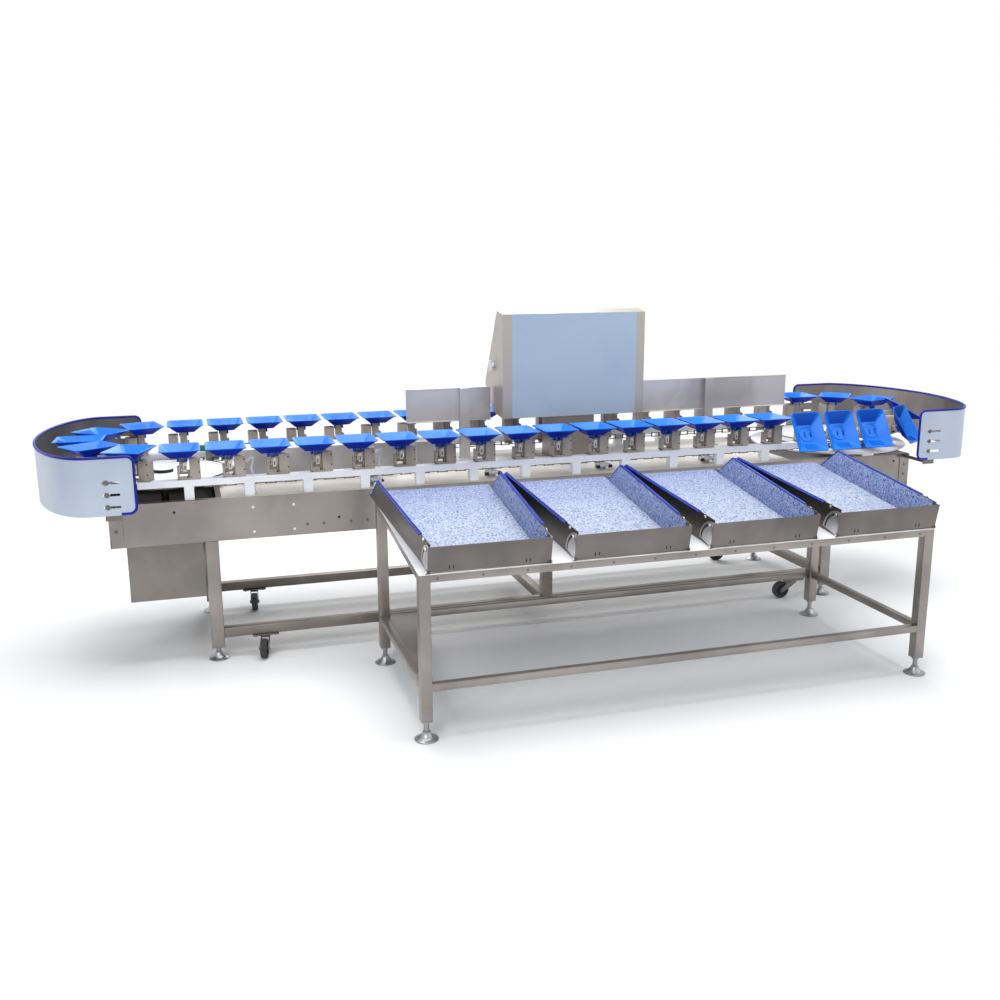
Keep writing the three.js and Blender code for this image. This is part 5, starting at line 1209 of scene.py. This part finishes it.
# %% cabinet
softened("cabinet_shell", cabinet_film, 1.6)
softened("cabinet_door", steel, 0.6, "cabinet_door")
CROWN, NOSE = Vector((0, 408, 1302)), Vector((0, 600, 966))
CABINET_LEFT, CABINET_RIGHT = 1618, 2280
CABINET_MIDDLE = (CABINET_LEFT + CABINET_RIGHT) / 2
BUTTONS_DOWN = 285
down = (NOSE - CROWN).normalized()
out = Vector((0, -down.z, down.y))


def on_face(x, along, proud):
    """A point of the sloping face: along it from the crown, and proud of it."""
    return CROWN + down * along + out * proud + Vector((x, 0, 0))


def face_block(half, a0, a1, o0, o1, soft):
    corners = ((-half, a0), (half, a0), (half, a1), (-half, a1))
    return pushed([on_face(CABINET_MIDDLE + dx, along, o0) for dx, along in corners], out * (o1 - o0), soft)


bezel, pane = face_block(125, 30, 190, 3.6, 9.6, 1.8), face_block(110, 44, 176, 9.3, 9.58, 0.1)
finished(bezel, "screen_bezel", black, "cabinet_door", ["touch_screen"])
finished(pane, "screen_pane", screen_glass, "cabinet_door")

PUSH_HEAD = ((0, 7.4), (10.6, 7.4), (11, 8.4), (11, 13.9), (9.5, 15.2), (0, 15.4))
STOP_HEAD = ((0, 14), (12, 14.4), (12, 24), (18, 26), (19.8, 29), (19.8, 33), (17, 35.6), (8, 36.3),
             (0, 36.4))
# name, offset, head, base, hole and ring radius, finish of head and collar, slot
BUTTONS = (("start_button", -90, PUSH_HEAD, 7.4, 11.6, 15, signal_green, chrome, "green_plastic"),
           ("stop_button", 0, PUSH_HEAD, 7.4, 11.6, 15, signal_red, chrome, "red_plastic"),
           ("emergency_stop", 90, STOP_HEAD, 14.4, 7.4, 24, signal_red, signal_yellow, "red_plastic"))
for name, offset, head, base, hole, rim, finish, collar, slot in BUTTONS:
    facing_out = UP.rotation_difference(out).to_matrix().to_4x4()
    place = moved(on_face(CABINET_MIDDLE + offset, BUTTONS_DOWN, 0)) @ facing_out
    stem = ((0, -13.8), (6.8, -13.8), (6.8, base + 1), (0, base + 1))
    ring = ((hole, 3.42), (rim, 3.42), (rim, 5.4), (rim - 1, 6), (hole + 0.6, 6), (hole, 3.42))
    finished(turned(head, 40, place), f"{name}_head", finish, name, [name])
    finished(turned(stem, 24, place), f"{name}_stem", black, name)
    finished(turned(ring, 40, place), f"{name}_collar", collar, "cabinet_door")

softened("cabinet_latch", white, 0.8, "cabinet_latch")

# %% [markdown]
# Last come the small parts: release levers beside the outlets, a black sheet of painted shade in
# the pit round the drive shaft, a green guide strip at the rear, white sensor plates with dark
# sockets behind the front rail, two swan-neck levers, and the plugs and screws of the frames.

# %% small parts on the frame
GUIDE_Y = 515
SENSORS_X = (1003, 1495, 1987, 2479)
# way of a swan-neck lever: x from its foot, z
SWAN_NECK = ((0, 650), (-1, 718), (-7, 743), (3, 784), (-8, 783), (-26, 768))
PLUG = ((0, 0), (5.2, 0), (5.4, 0.8), (4.2, 1.6), (0, 1.8))
SCREW = ((0, 0), (6, 0), (6, 1.2), (4.6, 2.8), (0, 3.3))
SMALL_SCREW = ((0, 0), (4.2, 0), (4.2, 0.8), (3, 2), (0, 2.3))


def fixed(target, profile, steps, x, y, z, way=1):
    """Stamps a turned head on an upright face that looks to the front, or with -1 to the rear."""
    stamp(target, turned(profile, steps, moved((x, y, z)) @ spun(way * QUARTER, "X")))


for number in range(1, 5):
    softened(f"tripper_{number}", cream_light, 0.6, f"tripper_{number}")

# Painted shade: a black sheet under the open end of the deck darkens the pit round the drive shaft.
pit_shade_sheet = gathered(block((6, 6, 560), (386, 652, 562), 0), block((384, 6, 560), (386, 652, 640), 0))
shaft_hole = rod((LOOP_X, LOOP_Y, 540), (LOOP_X, LOOP_Y, 580), 24, 32)
finished(cut_away(pit_shade_sheet, [shaft_hole]), "drive_pit_shade_sheet", black)

finished(block((345, GUIDE_Y - 3, 738), (760, GUIDE_Y + 12, 763), 1.5), "rear_guide_strip", green)
guide_feet, solenoids, sockets, levers = (bmesh.new() for _ in range(4))
blocks(guide_feet, [(x - 12, GUIDE_Y, 644, x + 12, GUIDE_Y + 4, 750, 0.8) for x in (380, 720)])
finished(guide_feet, "rear_guide_feet", dark_steel)

for x in SENSORS_X:
    blocks(solenoids, ((x - 34, 70, 656, x + 34, 84, 668, 1.2), (x - 20, 62, 660, x + 20, 84, 672, 1.0)))
    blocks(sockets, [(x + dx - 8, 60, 652, x + dx + 8, 71, 664, 1.0) for dx in (-28, 28)])
finished(solenoids, "solenoid_plates", rail_white)
finished(sockets, "solenoid_sockets", black)

for x in (531, 1024):
    stamp(levers, bead([(x + dx, 60, z) for dx, z in SWAN_NECK], 5.2))
    blocks(levers, [(x - 30, 46, 644, x + 14, 76, 656, 1.2)])
finished(levers, "weigh_levers", rail_white)

for name, places, finish, slot in (
        ("dark", ((230, 602), (845, 539), (3388, 610)), black, "dark_paint"),
        ("pale", ((519, 602), (672, 602), (519, 505), (672, 505)), white, "white_plastic")):
    plugs = bmesh.new()
    for x, z in places:
        fixed(plugs, PLUG, 20, x, 0, z)
    finished(plugs, f"beam_plugs_{name}", finish)

screw_heads = bmesh.new()
for x, z in ((720, 520), (785, 519), (891, 519), (957, 520)):
    fixed(screw_heads, SCREW, 24, x, 0, z)
for y, way in ((-3, 1), (661, -1)):
    for x, z in ((21, 544), (3443, 548), (3443, 592)):
        fixed(screw_heads, SCREW, 24, x, y, z, way)
for number in range(13):
    fixed(screw_heads, SMALL_SCREW, 20, BENCH_X + 60 + number * 149.5, BENCH_FRONT + 1, 547)
finished(screw_heads, "screw_heads", dark_steel)
